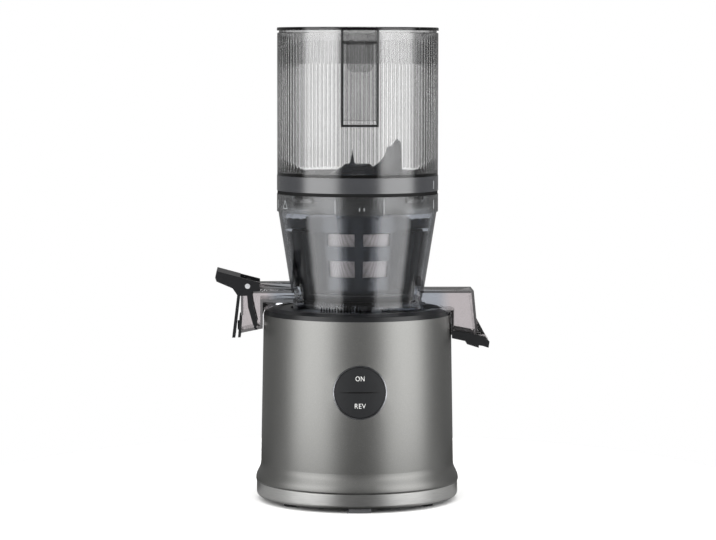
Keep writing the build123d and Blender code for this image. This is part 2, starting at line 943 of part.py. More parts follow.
with BuildPart() as gearbox_housing:
    gearbox_outline(housing_low, cover_low, near_outer, far_outer)
    disc(motor_radius, housing_low, housing_floor)
    ring(motor_radius, motor_radius - bell_wall, stator_top, housing_low)
    for point in gearbox_screw_points:
        disc(gearbox_boss_radius, housing_low, cover_low, at=point)
    gearbox_outline(housing_floor, cover_low, near_room, far_room, mode=Mode.SUBTRACT)
    disc(motor_bearing_radius + hub_wall, upper_seat, housing_low)
    disc(
        motor_bearing_radius,
        upper_seat,
        upper_seat + motor_bearing_height,
        mode=Mode.SUBTRACT,
    )
    disc(motor_shaft_radius + bearing_lip, upper_seat, housing_floor, mode=Mode.SUBTRACT)
    counter_hub = counter_bearing_radius + hub_wall
    disc(counter_hub, counter_low_seat - bearing_lip, housing_floor, at=counter_at)
    disc(counter_bearing_radius, counter_low_seat, housing_floor, at=counter_at, mode=Mode.SUBTRACT)
    for point in gearbox_screw_points:
        screw_hole = gearbox_screw_radius + shaft_fit
        disc(screw_hole, cover_low - 4 * gearbox_boss_radius, cover_low, at=point, mode=Mode.SUBTRACT)
    for point in bolt_points:
        disc(bolt_radius * 2, stator_top, housing_low, at=point)
        bolt_end = housing_low + carrier_floor / 2
        disc(bolt_radius + seat_gap, stator_top, bolt_end, at=point, mode=Mode.SUBTRACT)

with BuildPart() as gearbox_cover:
    gearbox_outline(cover_low, cover_top, near_outer, far_outer)
    disc(output_bearing_radius + output_boss_wall, cover_low, boss_top)
    for point in gearbox_screw_points:
        disc(gearbox_boss_radius, cover_low, cover_top, at=point)
        disc(gearbox_screw_radius + seat_gap, cover_low, cover_top, at=point, mode=Mode.SUBTRACT)
    disc(output_bearing_radius, cover_low, boss_top - gear_space, mode=Mode.SUBTRACT)
    disc(output_shaft_radius + bearing_lip, cover_low, boss_top, mode=Mode.SUBTRACT)
    disc(counter_hub, counter_high_seat, cover_low, at=counter_at)
    disc(
        counter_bearing_radius,
        counter_high_seat,
        counter_high_seat + counter_bearing_height,
        at=counter_at,
        mode=Mode.SUBTRACT,
    )

with BuildPart() as gearbox_screws:
    for point in gearbox_screw_points:
        disc(gearbox_screw_radius, cover_low - 3 * gearbox_boss_radius, cover_top, at=point)
        head_top = cover_top + gearbox_screw_radius
        disc(gearbox_screw_radius * head_share, cover_top, head_top, at=point)

with BuildPart() as gearbox_bearings:
    for low in (cover_low, output_seat):
        top = low + output_bearing_height
        ring(output_bearing_radius, output_shaft_radius + shaft_fit, low, top)
    for low in (counter_low_seat, counter_high_seat):
        top = low + counter_bearing_height
        ring(counter_bearing_radius, counter_shaft_radius + shaft_fit, low, top, at=counter_at)

with BuildPart() as countershaft_gear:
    mesh_turn = 270 + 180 / first_gear_teeth
    gear(first_gear_teeth, first_module, mesh_turn, first_gear_low, first_gear_top, counter_at)
    disc(counter_shaft_radius, first_gear_low, first_gear_top, at=counter_at, mode=Mode.SUBTRACT)

with BuildPart() as countershaft:
    gear(pinion_teeth, second_module, 270, second_gear_low, second_gear_top, counter_at)
    shaft_end = counter_high_seat + counter_bearing_height - seat_gap
    disc(counter_shaft_radius, counter_low_seat + seat_gap, shaft_end, at=counter_at)

with BuildPart() as output_gear:
    mesh_turn = 90 + 180 / output_gear_teeth
    gear(output_gear_teeth, second_module, mesh_turn, second_gear_low, second_gear_top)
    disc(output_shaft_radius, second_gear_low, second_gear_top, mode=Mode.SUBTRACT)

with BuildPart() as drive_shaft:
    disc(output_shaft_radius, second_gear_low, hex_low)
    with BuildSketch(Plane.XY.offset(hex_low)):
        RegularPolygon(hex_flats / 2, 6, major_radius=False)
    extrude(amount=shaft_top - hex_low)
    chamfer(drive_shaft.faces().sort_by(Axis.Z)[-1].edges(), length=hex_chamfer)

# ---------------------------------------------------------------------------
# Electrical pieces in the base
# ---------------------------------------------------------------------------

board_low = plate_top + board_stand
board_top = board_low + board_thickness
with BuildPart() as control_board:
    plate(board_length, board_depth, board_low, board_top, at=(0, board_y))
    relay_at = (-board_length / 4, board_y)
    plate(relay_width, relay_depth, board_top, board_top + relay_height, at=relay_at)
    disc(board_part_radius, board_top, board_top + relay_height, at=(board_length / 4, board_y))
    plug_at = (0, board_y + board_depth / 4)
    plug_top = board_top + relay_height / 2
    plate(2 * board_part_radius, board_part_radius, board_top, plug_top, at=plug_at)

with BuildPart() as run_capacitor:
    terminal_low = plate_top + capacitor_height
    disc(capacitor_radius, plate_top, terminal_low, at=capacitor_at)
    top_edges = run_capacitor.edges().filter_by(GeomType.CIRCLE).group_by(Axis.Z)[-1]
    fillet(top_edges, radius=capacitor_round)
    for side in (-1, 1):
        terminal_at = (capacitor_at[0] + side * capacitor_radius / 3, capacitor_at[1])
        plate(
            terminal_thickness,
            terminal_width,
            terminal_low,
            terminal_low + terminal_length,
            at=terminal_at,
        )

# ---------------------------------------------------------------------------
# Juicing drum with its two spouts
# ---------------------------------------------------------------------------

shoulder = body_top_radius + body_clearance
ring_inner = drum_ring_radius - drum_ring_wall
bowl_radius = drum_skirt_radius - drum_wall
inside_bowl = bowl_radius - 4 * drum_wall

# juice spout, in X and Z
room_top = drum_floor + tube_room
tube_top = room_top + spout_wall
tube_low = drum_floor - tube_floor
nozzle_far = shoulder + nozzle_length
nozzle_low = shell_top - nozzle_drop
mouth_top = nozzle_low + mouth_height
tube_half = spout_half_width - spout_wall
cap_pivot = (cap_pin_inset - nozzle_far, tube_top + cap_pin_rise)

# residue spout, in X and Z
duct_floor = drum_base + duct_wall
duct_roof = duct_floor + duct_room
duct_top = duct_roof + duct_wall
duct_half = duct_half_width - duct_wall
duct_far = body_top_radius + duct_length
duct_low = shell_top - duct_drop
far_below = duct_low - duct_length

# trough that carries the residue under the drum's floor
trough_end = drum_skirt_radius + duct_wall
trough_width = 2 * (channel_half_width + duct_wall)

idler_at = (0, drum_gear_module * (sun_teeth + idler_teeth) / 2)
idler_tip = drum_gear_module * (idler_teeth / 2 + 1)


def nozzle_bottom(x):
    """Height of the underside of the juice nozzle at an X."""
    return nozzle_low + nozzle_slope * (nozzle_far + x)


def duct_bottom(x):
    """Height of the residue spout's slanted mouth at an X."""
    return duct_low - duct_slope * (x - body_top_radius)


def duct_side(z):
    """X of the residue spout's outer end at a height."""
    return duct_far + duct_lean * (duct_top - z)


duct_end = duct_side(duct_bottom(duct_far))
flap_pivot = (
    duct_end + duct_wall + flap_pin_radius,
    duct_bottom(duct_end) - flap_lug_radius + slip_fit,
)
bowl_outside = [
    (0, 0),
    (drum_skirt_radius, 0),
    (drum_skirt_radius, skirt_line),
    (drum_knee_radius, knee_line),
    (drum_lip_radius, lip_line),
    (0, lip_line),
]

with BuildPart() as residue_spout:
    # a duct out over the deck, then down past the body's shoulder
    duct_start = shoulder - 3 * duct_wall
    slab(
        [
            (inside_bowl, duct_top),
            (duct_far, duct_top),
            (duct_end, duct_bottom(duct_end)),
            (duct_start, duct_bottom(duct_start)),
            (duct_start, drum_base),
            (inside_bowl, drum_base),
        ],
        duct_half_width,
    )
    slab(
        [
            (inside_bowl, duct_roof),
            (duct_far - duct_wall, duct_roof),
            (duct_side(far_below) - duct_wall, far_below),
            (duct_start, far_below),
            (duct_start, duct_floor),
            (inside_bowl, duct_floor),
        ],
        duct_half,
        mode=Mode.SUBTRACT,
    )
    near_wall = shoulder + duct_wall
    floor_reach = 2 * (near_wall - duct_start) + duct_wall
    with BuildSketch(Plane.XY.offset(drum_base)) as duct_floor_face:
        Circle(near_wall)
        with Locations((near_wall, 0)):
            Rectangle(floor_reach, 2 * duct_half_width, mode=Mode.INTERSECT)
    extrude(duct_floor_face.sketch, amount=duct_wall)
    extrude(duct_floor_face.sketch, amount=far_below - drum_base)
    slab(
        [
            (inside_bowl, duct_bottom(inside_bowl)),
            (2 * duct_far, duct_bottom(2 * duct_far)),
            (2 * duct_far, 0),
            (inside_bowl, 0),
        ],
        duct_half_width + duct_wall,
        mode=Mode.SUBTRACT,
    )
    disc(shoulder, 0, drum_base, mode=Mode.SUBTRACT)
    # hinge lugs of the residue lever
    for side in (-1, 1):
        lug_near = side * flap_lug_y - flap_lug_width / 2
        lug_far = lug_near + flap_lug_width
        cross_pin(flap_lug_radius, flap_pivot, lug_near, lug_far)
        slab(
            [
                (duct_side(duct_bottom(duct_end)) - duct_wall / 2, duct_bottom(duct_end)),
                (flap_pivot[0], flap_pivot[1]),
                (flap_pivot[0] + flap_lug_radius, flap_pivot[1]),
                (duct_side(duct_low + duct_drop) - duct_wall / 2, duct_low + duct_drop),
            ],
            lug_near,
            lug_far,
        )
        lug_bore = flap_pin_radius + shaft_fit
        cross_pin(lug_bore, flap_pivot, lug_near, lug_far, mode=Mode.SUBTRACT)
    turned(bowl_outside, mode=Mode.SUBTRACT)
    # trough under the drum's floor, from the slot to the duct
    trough_start = slot_inner - duct_wall
    trough_at = ((trough_start + trough_end) / 2, 0)
    plate(trough_end - trough_start, trough_width, drum_base, floor_under, at=trough_at)
    plate(
        trough_end - slot_inner,
        2 * channel_half_width,
        duct_floor,
        floor_under,
        at=((trough_end + slot_inner) / 2, 0),
        mode=Mode.SUBTRACT,
    )

with BuildPart() as juice_spout:
    # a tube out over the deck, and a nozzle that hangs past the shoulder
    slab(
        [
            (-inside_bowl, tube_top),
            (-nozzle_far, tube_top),
            (-nozzle_far, mouth_top),
            (mouth_inset - nozzle_far, mouth_top),
            (mouth_inset / 4 - nozzle_far, nozzle_low),
            (-shoulder, nozzle_bottom(-shoulder)),
            (-shoulder, shell_top),
            (bevel_inset - shoulder, shell_top + bevel_height + body_clearance),
            (-crown_radius, deck_top + 2 * body_clearance),
            (-well_radius - 3 * spout_wall, tube_low),
            (-inside_bowl, tube_low),
        ],
        spout_half_width,
    )
    slab(
        [
            (-inside_bowl, room_top),
            (spout_wall - nozzle_far, room_top),
            (spout_wall - nozzle_far, mouth_top),
            (-2 * nozzle_far, mouth_top),
            (-2 * nozzle_far, nozzle_bottom(-nozzle_far) + spout_wall),
            (-nozzle_far, nozzle_bottom(-nozzle_far) + spout_wall),
            (-shoulder - spout_wall, nozzle_bottom(-shoulder) + spout_wall),
            (-shoulder - spout_wall, drum_floor),
            (-inside_bowl, drum_floor),
        ],
        tube_half,
        mode=Mode.SUBTRACT,
    )
    slab(
        [
            (-shoulder, nozzle_low),
            (-shoulder, tube_low),
            (-inside_bowl, tube_low),
            (-inside_bowl, nozzle_low),
        ],
        tube_half,
        mode=Mode.SUBTRACT,
    )
    rail_end = cap_pivot[0] + cap_lug_radius / 2
    rail_top = tube_top + rail_height
    slab(
        [
            (-inside_bowl, room_top + seat_gap),
            (rail_end, room_top + seat_gap),
            (rail_end, rail_top),
            (-inside_bowl, rail_top),
        ],
        rail_half_width,
    )
    cross_pin(cap_lug_radius, cap_pivot, rail_half_width)
    cross_pin(cap_pin_radius + shaft_fit, cap_pivot, rail_half_width, mode=Mode.SUBTRACT)
    turned(bowl_outside, mode=Mode.SUBTRACT)

with BuildPart() as drum:
    # bowl and top ring, with the lugs the hopper twists under
    turned(
        [
            (drum_radius(room_top), room_top),
            (drum_knee_radius, knee_line),
            (drum_lip_radius, lip_line),
            (drum_ring_radius, lip_line),
            (drum_ring_radius, drum_top),
            (ring_inner, drum_top),
            (ring_inner, lip_line + drum_wall),
            (drum_lip_radius - drum_wall, lip_line),
            (drum_knee_radius - drum_wall, knee_line),
            (drum_radius(room_top) - drum_wall, room_top),
        ]
    )
    lug_top = drum_top - bayonet_height
    for place in range(bayonet_count):
        sector(
            ring_inner + drum_ring_wall / 2,
            ring_inner - bayonet_depth,
            45 + 360 / bayonet_count * place,
            bayonet_angle,
            lug_top - bayonet_height,
            lug_top,
        )

with BuildPart() as drum_foot:
    # lowest band of the bowl's wall, with the port for the juice and the pass for the trough
    turned(
        [
            (bowl_radius, drum_base),
            (drum_skirt_radius, drum_base),
            (drum_skirt_radius, skirt_line),
            (drum_radius(room_top), room_top),
            (drum_radius(room_top) - drum_wall, room_top),
            (bowl_radius, drum_floor),
        ]
    )
    port_depth = drum_radius(room_top) - sqrt(inside_bowl**2 - tube_half**2)
    port_at = (-drum_radius(room_top) + port_depth / 2 - drum_wall / 2, 0)
    plate(port_depth, 2 * tube_half, drum_floor, room_top, at=port_at, mode=Mode.SUBTRACT)
    pass_at = (bowl_radius, 0)
    plate(trough_end - inside_bowl, trough_width, drum_base, floor_under, at=pass_at, mode=Mode.SUBTRACT)

with BuildPart() as drum_floor_disc:
    # floor with its collar, the strainer's seat, the idler's post and the slot over the trough
    ring(bowl_radius, collar_bore, floor_under, drum_floor)
    ring(collar_radius, collar_bore, drum_floor, drum_floor + collar_height)
    ring(seat_wall_radius, seat_wall_radius - seat_wall, drum_floor, strainer_low)
    disc(idler_tip + 4 * slip_fit, drum_floor, strainer_low, at=idler_at, mode=Mode.SUBTRACT)
    disc(idler_post_radius, drum_floor, gear_top + seat_gap, at=idler_at)
    slot_at = ((slot_outer + slot_inner) / 2, 0)
    slot_width = 2 * channel_half_width - duct_wall
    slot_length = slot_outer - slot_inner
    plate(slot_length, slot_width, floor_under, drum_floor, at=slot_at, mode=Mode.SUBTRACT)

with BuildPart() as drum_shaft_seal:
    hex_corner = hex_flats / 2 / cos(radians(30))
    seal_low = drum_floor + collar_height - shaft_seal_height * 1.5
    ring(collar_bore, hex_corner + slip_fit, seal_low, drum_floor + collar_height)

# ---------------------------------------------------------------------------
# Gears on the drum floor
# ---------------------------------------------------------------------------

ring_teeth = sun_teeth + 2 * idler_teeth
ring_gear_outer = drum_gear_module * (ring_teeth / 2 + 1.25) + ring_gear_wall

with BuildPart() as idler_gear:
    idler_turn = 270 + 180 / idler_teeth
    gear(idler_teeth, drum_gear_module, idler_turn, gear_low, gear_top, idler_at)
    disc(idler_post_radius + shaft_fit, gear_low, gear_top, at=idler_at, mode=Mode.SUBTRACT)

with BuildPart() as brush_frame:
    disc(ring_gear_outer, gear_low, gear_top)
    ring_turn = 90 + 180 / ring_teeth
    space = gear_outline(ring_teeth, drum_gear_module, ring_turn, gear_backlash, internal=True)
    with BuildSketch(Plane.XY.offset(gear_low)):
        with BuildLine():
            Polyline(*space, close=True)
        make_face()
    extrude(amount=drum_gear_height, mode=Mode.SUBTRACT)
    arm_top = gear_top + brush_arm_height
    arm_outer_low = brush_radius(gear_top)
    arm_outer_top = brush_radius(arm_top)
    for middle in (0, 180):
        with BuildSketch(radial_plane(middle - brush_arm_angle / 2)) as arm:
            with BuildLine():
                Polyline(
                    (arm_outer_low - brush_arm_wall, gear_top),
                    (arm_outer_low, gear_top),
                    (arm_outer_top, arm_top),
                    (arm_outer_top - brush_arm_wall, arm_top),
                    close=True,
                )
            make_face()
        revolve(arm.sketch, axis=Axis.Z, revolution_arc=brush_arm_angle)

with BuildPart() as wiper_blades:
    blade_low = strainer_low + strainer_ring_height
    blade_top = arm_top - wiper_thickness
    for middle in (0, 180):
        for turn in (middle - wiper_angle, middle + wiper_angle):
            fin(
                [
                    (strainer_radius(blade_low) + side_play, blade_low),
                    (brush_radius(blade_low) - brush_arm_wall - shaft_fit, blade_low),
                    (brush_radius(blade_top) - brush_arm_wall - shaft_fit, blade_top),
                    (strainer_radius(blade_top) + side_play, blade_top),
                ],
                turn,
                wiper_thickness,
            )
        fin(
            [
                (brush_radius(blade_low) + shaft_fit, blade_low),
                (drum_radius(blade_low) - drum_wall - side_play, blade_low),
                (drum_radius(knee_line) - drum_wall - side_play, knee_line),
                (drum_radius(blade_top) - drum_wall - side_play, blade_top),
                (brush_radius(blade_top) + shaft_fit, blade_top),
            ],
            middle,
            wiper_thickness,
        )

# ---------------------------------------------------------------------------
# Strainer
# ---------------------------------------------------------------------------

strainer_foot_top = strainer_low + strainer_ring_height
window_rows = (
    (strainer_low + low_window_rise, low_window_height),
    (strainer_low + high_window_rise, high_window_height),
)

with BuildPart() as strainer:
    turned(
        [
            (strainer_foot_radius, strainer_low),
            (strainer_low_radius, strainer_low),
            (strainer_high_radius, strainer_top),
            (rim_radius, strainer_top),
            (rim_radius, rim_top),
            (rim_radius - rim_wall, rim_top),
            (strainer_high_radius - strainer_wall, strainer_top),
            (strainer_radius(strainer_foot_top) - strainer_wall, strainer_foot_top),
            (strainer_foot_radius, strainer_foot_top),
        ]
    )
    for low, height in window_rows:
        for pair in range(window_pairs):
            for side in (-1, 1):
                sector(
                    strainer_high_radius + strainer_wall,
                    strainer_low_radius - 3 * strainer_wall,
                    270 + 360 / window_pairs * pair + side * (window_rib_angle + window_angle) / 2,
                    window_angle,
                    low,
                    low + height,
                    mode=Mode.SUBTRACT,
                )
    tab_low = strainer_top + tab_gap
    tab_far = drum_radius(tab_low) - drum_wall - tab_gap
    tab_near = rim_radius - rim_wall / 2
    tab_at = (tab_far + tab_near) / 2
    for side, width in ((-1, strainer_tab_width), (1, strainer_key_width)):
        plate(
            tab_far - tab_near,
            width,
            tab_low,
            tab_low + strainer_tab_height,
            at=(side * tab_at, 0),
        )

with BuildPart() as strainer_mesh:
    mesh_low = strainer_low + mesh_margin
    mesh_top = strainer_top - mesh_thickness * 4
    mesh_inset = strainer_wall + shaft_fit
    turned(
        [
            (strainer_radius(mesh_low) - mesh_inset, mesh_low),
            (strainer_radius(mesh_top) - mesh_inset, mesh_top),
            (strainer_radius(mesh_top) - mesh_inset - mesh_thickness, mesh_top),
            (strainer_radius(mesh_low) - mesh_inset - mesh_thickness, mesh_low),
        ]
    )

# ---------------------------------------------------------------------------
# Auger, its hexagonal insert and its cutting wing
# ---------------------------------------------------------------------------

auger_top = drum_floor + auger_height
flight_low = strainer_foot_top + slip_fit * 10
flight_top = auger_top - flight_margin
flight_height = flight_top - flight_low
flight_inset = mesh_inset + mesh_thickness + auger_gap
sun_tip = drum_gear_module * (sun_teeth / 2 + 0.95)
recess_radius = collar_radius + 4 * side_play
bore_radius = insert_radius + shaft_fit
insert_top = insert_low + insert_length

with BuildPart() as auger:
    flight_mean = strainer_high_radius - core_low_radius
    flight_path = Helix(
        pitch=flight_pitch, height=flight_height, radius=flight_mean, center=(0, 0, flight_low)
    )
    start_plane = Plane(origin=flight_path @ 0, x_dir=(1, 0, 0), z_dir=flight_path % 0)
    with BuildSketch(start_plane) as flight_section:
        Rectangle(strainer_high_radius - strainer_wall, flight_thickness)
    sweep(flight_section.sketch, path=flight_path, is_frenet=True)
    sweep_low = flight_low - flight_thickness
    sweep_top = flight_top + flight_thickness
    turned(
        [
            (0, sweep_low),
            (strainer_radius(sweep_low) - flight_inset, sweep_low),
            (strainer_radius(sweep_top) - flight_inset, sweep_top),
            (0, sweep_top),
        ],
        mode=Mode.INTERSECT,
    )
    disc(funnel_mouth - flight_inset / 2, sweep_low, sweep_top, mode=Mode.INTERSECT)
    turned(
        [
            (bore_radius, sweep_low),
            (core_low_radius, sweep_low),
            (core_high_radius, sweep_top),
            (bore_radius, sweep_top),
        ]
    )
    ring(sun_tip, bore_radius, gear_top, flight_low)
    disc(bore_radius + hub_wall, insert_top, auger_top)
    ring(core_high_radius, bore_radius, flight_top, auger_top)
    gear(sun_teeth, drum_gear_module, 90, gear_low, gear_top)
    disc(recess_radius, gear_low, insert_low, mode=Mode.SUBTRACT)
    disc(bore_radius, insert_low, insert_top, mode=Mode.SUBTRACT)

with BuildPart() as auger_hub_insert:
    disc(insert_radius, insert_low, insert_top)
    with BuildSketch(Plane.XY.offset(insert_low)):
        RegularPolygon((hex_flats + hex_fit) / 2, 6, major_radius=False)
    extrude(amount=insert_length, mode=Mode.SUBTRACT)

with BuildPart() as cutting_wing:
    wing_root = (0, auger_top)
    ring(
        wing_curve + wing_thickness / 2,
        wing_curve - wing_thickness / 2,
        auger_top,
        auger_top + wing_tip_rise,
        at=(wing_cap_radius + wing_thickness / 2, -wing_curve),
    )
    blade_outline = shaped(
        wing_root,
        wing_reach,
        wing_tip_rise,
        (0.188, 0.434),
        (0.39, 0.491),
        (0.496, 0.555),
        (0.591, 0.649),
        (0.635, 0.725),
        (0.671, 0.83),
        (0.788, 0.868),
        (0.882, 1),
        (0.974, 0.925),
        (1, 0.264),
        (0.682, 0.113),
        (0.188, 0.189),
    )
    slab(blade_outline, wing_curve - wing_thickness / 2, mode=Mode.INTERSECT)
    turned(
        [
            (0, auger_top),
            (wing_dome_radius, auger_top),
            (wing_dome_radius - wing_stem, auger_top + 0.38 * wing_dome_height),
            (wing_dome_radius - 4 * wing_stem, auger_top + 0.73 * wing_dome_height),
            (wing_cap_radius + wing_stem, auger_top + wing_dome_height),
            (wing_cap_radius, auger_top + wing_dome_height + wing_stem),
            (0, auger_top + wing_dome_height + wing_stem),
        ]
    )
    spike_outline = shaped(
        (0, auger_top + wing_dome_height),
        wing_cap_radius,
        wing_cap_radius,
        (-0.83, 0),
        (-0.58, 0.33),
        (-0.44, 1.33),
        (-0.29, 0.33),
        (0, 0),
    )
    slab(spike_outline, wing_thickness / 3)

# ---------------------------------------------------------------------------
# Juice cap: a lever over the nozzle's end, with a soft pad that closes its mouth
# ---------------------------------------------------------------------------

pin_z = cap_pivot[1]
arm_near = spout_half_width + side_play
arm_far = arm_near + lever_arm_width
leg_face = -nozzle_far - 2 * slip_fit

with BuildPart() as juice_cap_lever:
    shell_corners = shaped(
        cap_pivot,
        lever_reach,
        lever_leg,
        (-0.958, 0.296),
        (-1, 0.164),
        (-0.958, 0.09),
        (-0.463, -0.042),
        (-0.32, -0.174),
        (-0.479, -1),
        (-0.38, -1),
    )
    back_low = pin_z - 0.186 * lever_leg
    back_high = pin_z + 0.174 * lever_leg
    slab([*shell_corners, (leg_face, back_low), (leg_face, back_high)], arm_far)
    arm_corners = shaped(
        cap_pivot,
        lever_reach,
        lever_leg,
        (0.377, 0.07),
        (0.377, -0.098),
        (0.141, -0.11),
        (0.166, -0.352),
        (0.31, -0.722),
        (0.243, -0.858),
        (0.157, -0.722),
        (0.013, -0.406),
        (-0.013, -0.186),
    )
    arm_start = leg_face - cap_inset
    arm_corners = [(arm_start, back_high), *arm_corners, (arm_start, back_low)]
    for side in (-1, 1):
        arm_low = side * (arm_near + arm_far) / 2 - lever_arm_width / 2
        slab(arm_corners, arm_low, arm_low + lever_arm_width)
        hub_near = rail_half_width + side_play
        hub_low, hub_high = sorted((side * hub_near, side * arm_far))
        cross_pin(cap_lug_radius, cap_pivot, hub_low, hub_high)
        pin_bore = cap_pin_radius + shaft_fit
        cross_pin(pin_bore, cap_pivot, hub_low, hub_high, mode=Mode.SUBTRACT)
    cap_edges = juice_cap_lever.edges().filter_by(Axis.Y).group_by(Axis.X)[0]
    fillet(cap_edges, radius=lever_round)

with BuildPart() as juice_cap_pin:
    cross_pin(cap_pin_radius, cap_pivot, arm_far + seat_gap)

with BuildPart() as juice_cap_seal:
    pad_top = mouth_top - 2 * side_play
    pad_low = nozzle_low - cap_overlap
    lean = mouth_inset * 0.75 / mouth_height
    pad_face = mouth_inset - nozzle_far - slip_fit
    pad_low_face = pad_face - lean * (pad_top - pad_low)
    slab(
        [
            (pad_face, pad_top),
            (pad_low_face, pad_low),
            (pad_low_face - cap_thickness, pad_low),
            (pad_face - cap_thickness, pad_top),
        ],
        spout_half_width - cap_inset,
    )
    stem_z = (pad_top + pad_low) / 2
    stem_start = pad_face - cap_thickness / 2 - lean * (pad_top - stem_z)
    level_pin(cap_lug_radius, (0, stem_z), stem_start - cap_thickness, stem_start)

# ---------------------------------------------------------------------------
# Residue lever: a flap that closes the residue spout from below
# ---------------------------------------------------------------------------

flap_x, flap_z = flap_pivot
knuckle_near = flap_lug_y - flap_lug_width / 2 - slip_fit
knuckle_far = flap_lug_y + flap_lug_width / 2 + slip_fit
flap_half = duct_half_width - side_play
flap_left = shoulder + 4 * side_play


def flap_top(x):
    """Height of the closed flap's upper face at an X."""
    return duct_bottom(x) - flap_gap


with BuildPart() as residue_lever:
    underside = shaped(
        flap_pivot,
        flap_thickness,
        flap_thickness,
        (0.947, -0.173),
        (0.827, -0.973),
        (-0.16, -0.653),
        (-0.44, -0.653),
        (-0.44, -0.973),
        (-1.973, -0.493),
        (-2.133, -0.107),
    )
    flap_start = shoulder - duct_wall
    slab(
        [
            (flap_start, flap_top(flap_start)),
            (duct_end, flap_top(duct_end)),
            (flap_x + flap_tip_thickness, flap_z + slip_fit),
            *underside,
            (flap_start, flap_top(shoulder) - flap_thickness),
        ],
        flap_half,
    )
    disc(flap_left, 0, shell_top, mode=Mode.SUBTRACT)
    for side in (-1, 1):
        slot_low = side * flap_lug_y - (knuckle_far - knuckle_near) / 2
        slot_high = slot_low + knuckle_far - knuckle_near
        slot_radius = flap_lug_radius + side_play
        cross_pin(slot_radius, flap_pivot, slot_low, slot_high, mode=Mode.SUBTRACT)
        slab(
            [
                (flap_x - slot_radius, flap_z),
                (flap_x - slot_radius, shell_top),
                (2 * flap_x, shell_top),
                (2 * flap_x, flap_z - flap_pin_radius),
                (flap_x, flap_z - flap_pin_radius),
                (flap_x, flap_z),
            ],
            slot_low,
            slot_high,
            mode=Mode.SUBTRACT,
        )
    cross_pin(flap_knuckle_radius, flap_pivot, knuckle_near)
    cross_pin(flap_knuckle_radius, flap_pivot, -flap_half, -knuckle_far)
    cross_pin(flap_knuckle_radius, flap_pivot, knuckle_far, flap_half)
    flap_bore = flap_pin_radius + shaft_fit
    cross_pin(flap_bore, flap_pivot, knuckle_far, mode=Mode.SUBTRACT)

with BuildPart() as residue_lever_pin:
    cross_pin(flap_pin_radius, flap_pivot, knuckle_far)

with BuildPart() as residue_seal:
    pad_left = near_wall + 4 * slip_fit
    pad_right = duct_side(duct_low) - duct_wall - 4 * slip_fit
    slab(
        [
            (shoulder, flap_top(shoulder) + residue_pad_thickness),
            (pad_right, flap_top(pad_right) + residue_pad_thickness),
            (pad_right, flap_top(pad_right)),
            (shoulder, flap_top(shoulder)),
        ],
        duct_half - 4 * slip_fit,
    )
    disc(pad_left, 0, shell_top, mode=Mode.SUBTRACT)

# ---------------------------------------------------------------------------
# Hopper
# ---------------------------------------------------------------------------

hopper_inner = hopper_radius - hopper_wall
spigot_outer = ring_inner - bayonet_depth - side_play
spigot_inner = spigot_outer - spigot_wall
collar_inner = drum_ring_radius - spigot_wall
funnel_low = rim_top + side_play
funnel_start = collar_top + funnel_rise
funnel_end = funnel_start - funnel_slope * (hopper_inner - funnel_mouth)



def funnel_under(radius):
    """Height of the funnel's underside at a radius."""
    return funnel_start - funnel_slope * (hopper_inner - radius) - hopper_wall


with BuildPart() as hopper:
    turned(
        [
            (hopper_inner, hopper_top),
            (hopper_radius, hopper_top),
            (hopper_radius, collar_top + seat_gap),
            (collar_inner - seat_gap, collar_top + seat_gap),
            (collar_inner - seat_gap, hopper_base),
            (spigot_outer, hopper_base),
            (spigot_outer, hopper_base - spigot_length),
            (spigot_inner, hopper_base - spigot_length),
            (spigot_inner, funnel_under(spigot_inner)),
            (funnel_mouth + funnel_wall, funnel_under(funnel_mouth + funnel_wall)),
            (funnel_mouth + funnel_wall, funnel_low),
            (funnel_mouth, funnel_low),
            (funnel_mouth, funnel_end),
            (hopper_inner, funnel_start),
        ]
    )
    hopper_lug_top = lug_top - bayonet_height - bayonet_gap
    for place in range(bayonet_count):
        sector(
            spigot_outer + bayonet_depth,
            spigot_outer - spigot_wall / 2,
            45 + 360 / bayonet_count * place,
            bayonet_angle,
            hopper_lug_top - bayonet_height,
            hopper_lug_top,
        )

with BuildPart() as hopper_collar:
    ring(drum_ring_radius, collar_inner, hopper_base, collar_top)

with BuildPart() as hopper_gasket:
    gasket_inner = spigot_outer + slip_fit
    ring(gasket_inner + gasket_width, gasket_inner, drum_top + seat_gap, hopper_base - seat_gap)

# ---------------------------------------------------------------------------
# Lid with its feed chute, and the gate in the chute
# ---------------------------------------------------------------------------

lid_skirt_outer = hopper_inner - slip_fit
lid_skirt_inner = lid_skirt_outer - lid_skirt_wall
chute_corner_x = chute_width / 2
chute_front = -sqrt((lid_skirt_inner - slip_fit) ** 2 - chute_corner_x**2)
chute_back = chute_front + chute_depth
chute_y = (chute_front + chute_back) / 2
chute_low = lid_low - chute_length
gate_y = chute_front + chute_wall + gate_pin_radius + gate_gap
gate_pin_z = lid_top - gate_pin_drop
gate_low = gate_pin_z - gate_length

with BuildPart() as lid:
    turned(
        [
            (0, lid_top),
            (drum_ring_radius, lid_top),
            (drum_ring_radius, lid_low),
            (drum_ring_radius - lid_step, lid_low),
            (drum_ring_radius - lid_step, hopper_top + seat_gap),
            (lid_skirt_outer, hopper_top + seat_gap),
            (lid_skirt_outer, lid_low - lid_skirt_height),
            (lid_skirt_inner, lid_low - lid_skirt_height),
            (lid_skirt_inner, lid_low),
            (0, lid_low),
        ]
    )
    feed_width = chute_width - 2 * chute_wall
    feed_depth = chute_depth - 2 * chute_wall
    plate(
        feed_width,
        feed_depth,
        lid_low,
        lid_top,
        at=(0, chute_y),
        corner=chute_corner,
        mode=Mode.SUBTRACT,
    )
    lid_edges = lid.edges().filter_by(GeomType.CIRCLE).group_by(Axis.Z)[-1]
    fillet(lid_edges.sort_by(SortBy.RADIUS)[-1], radius=lid_round)

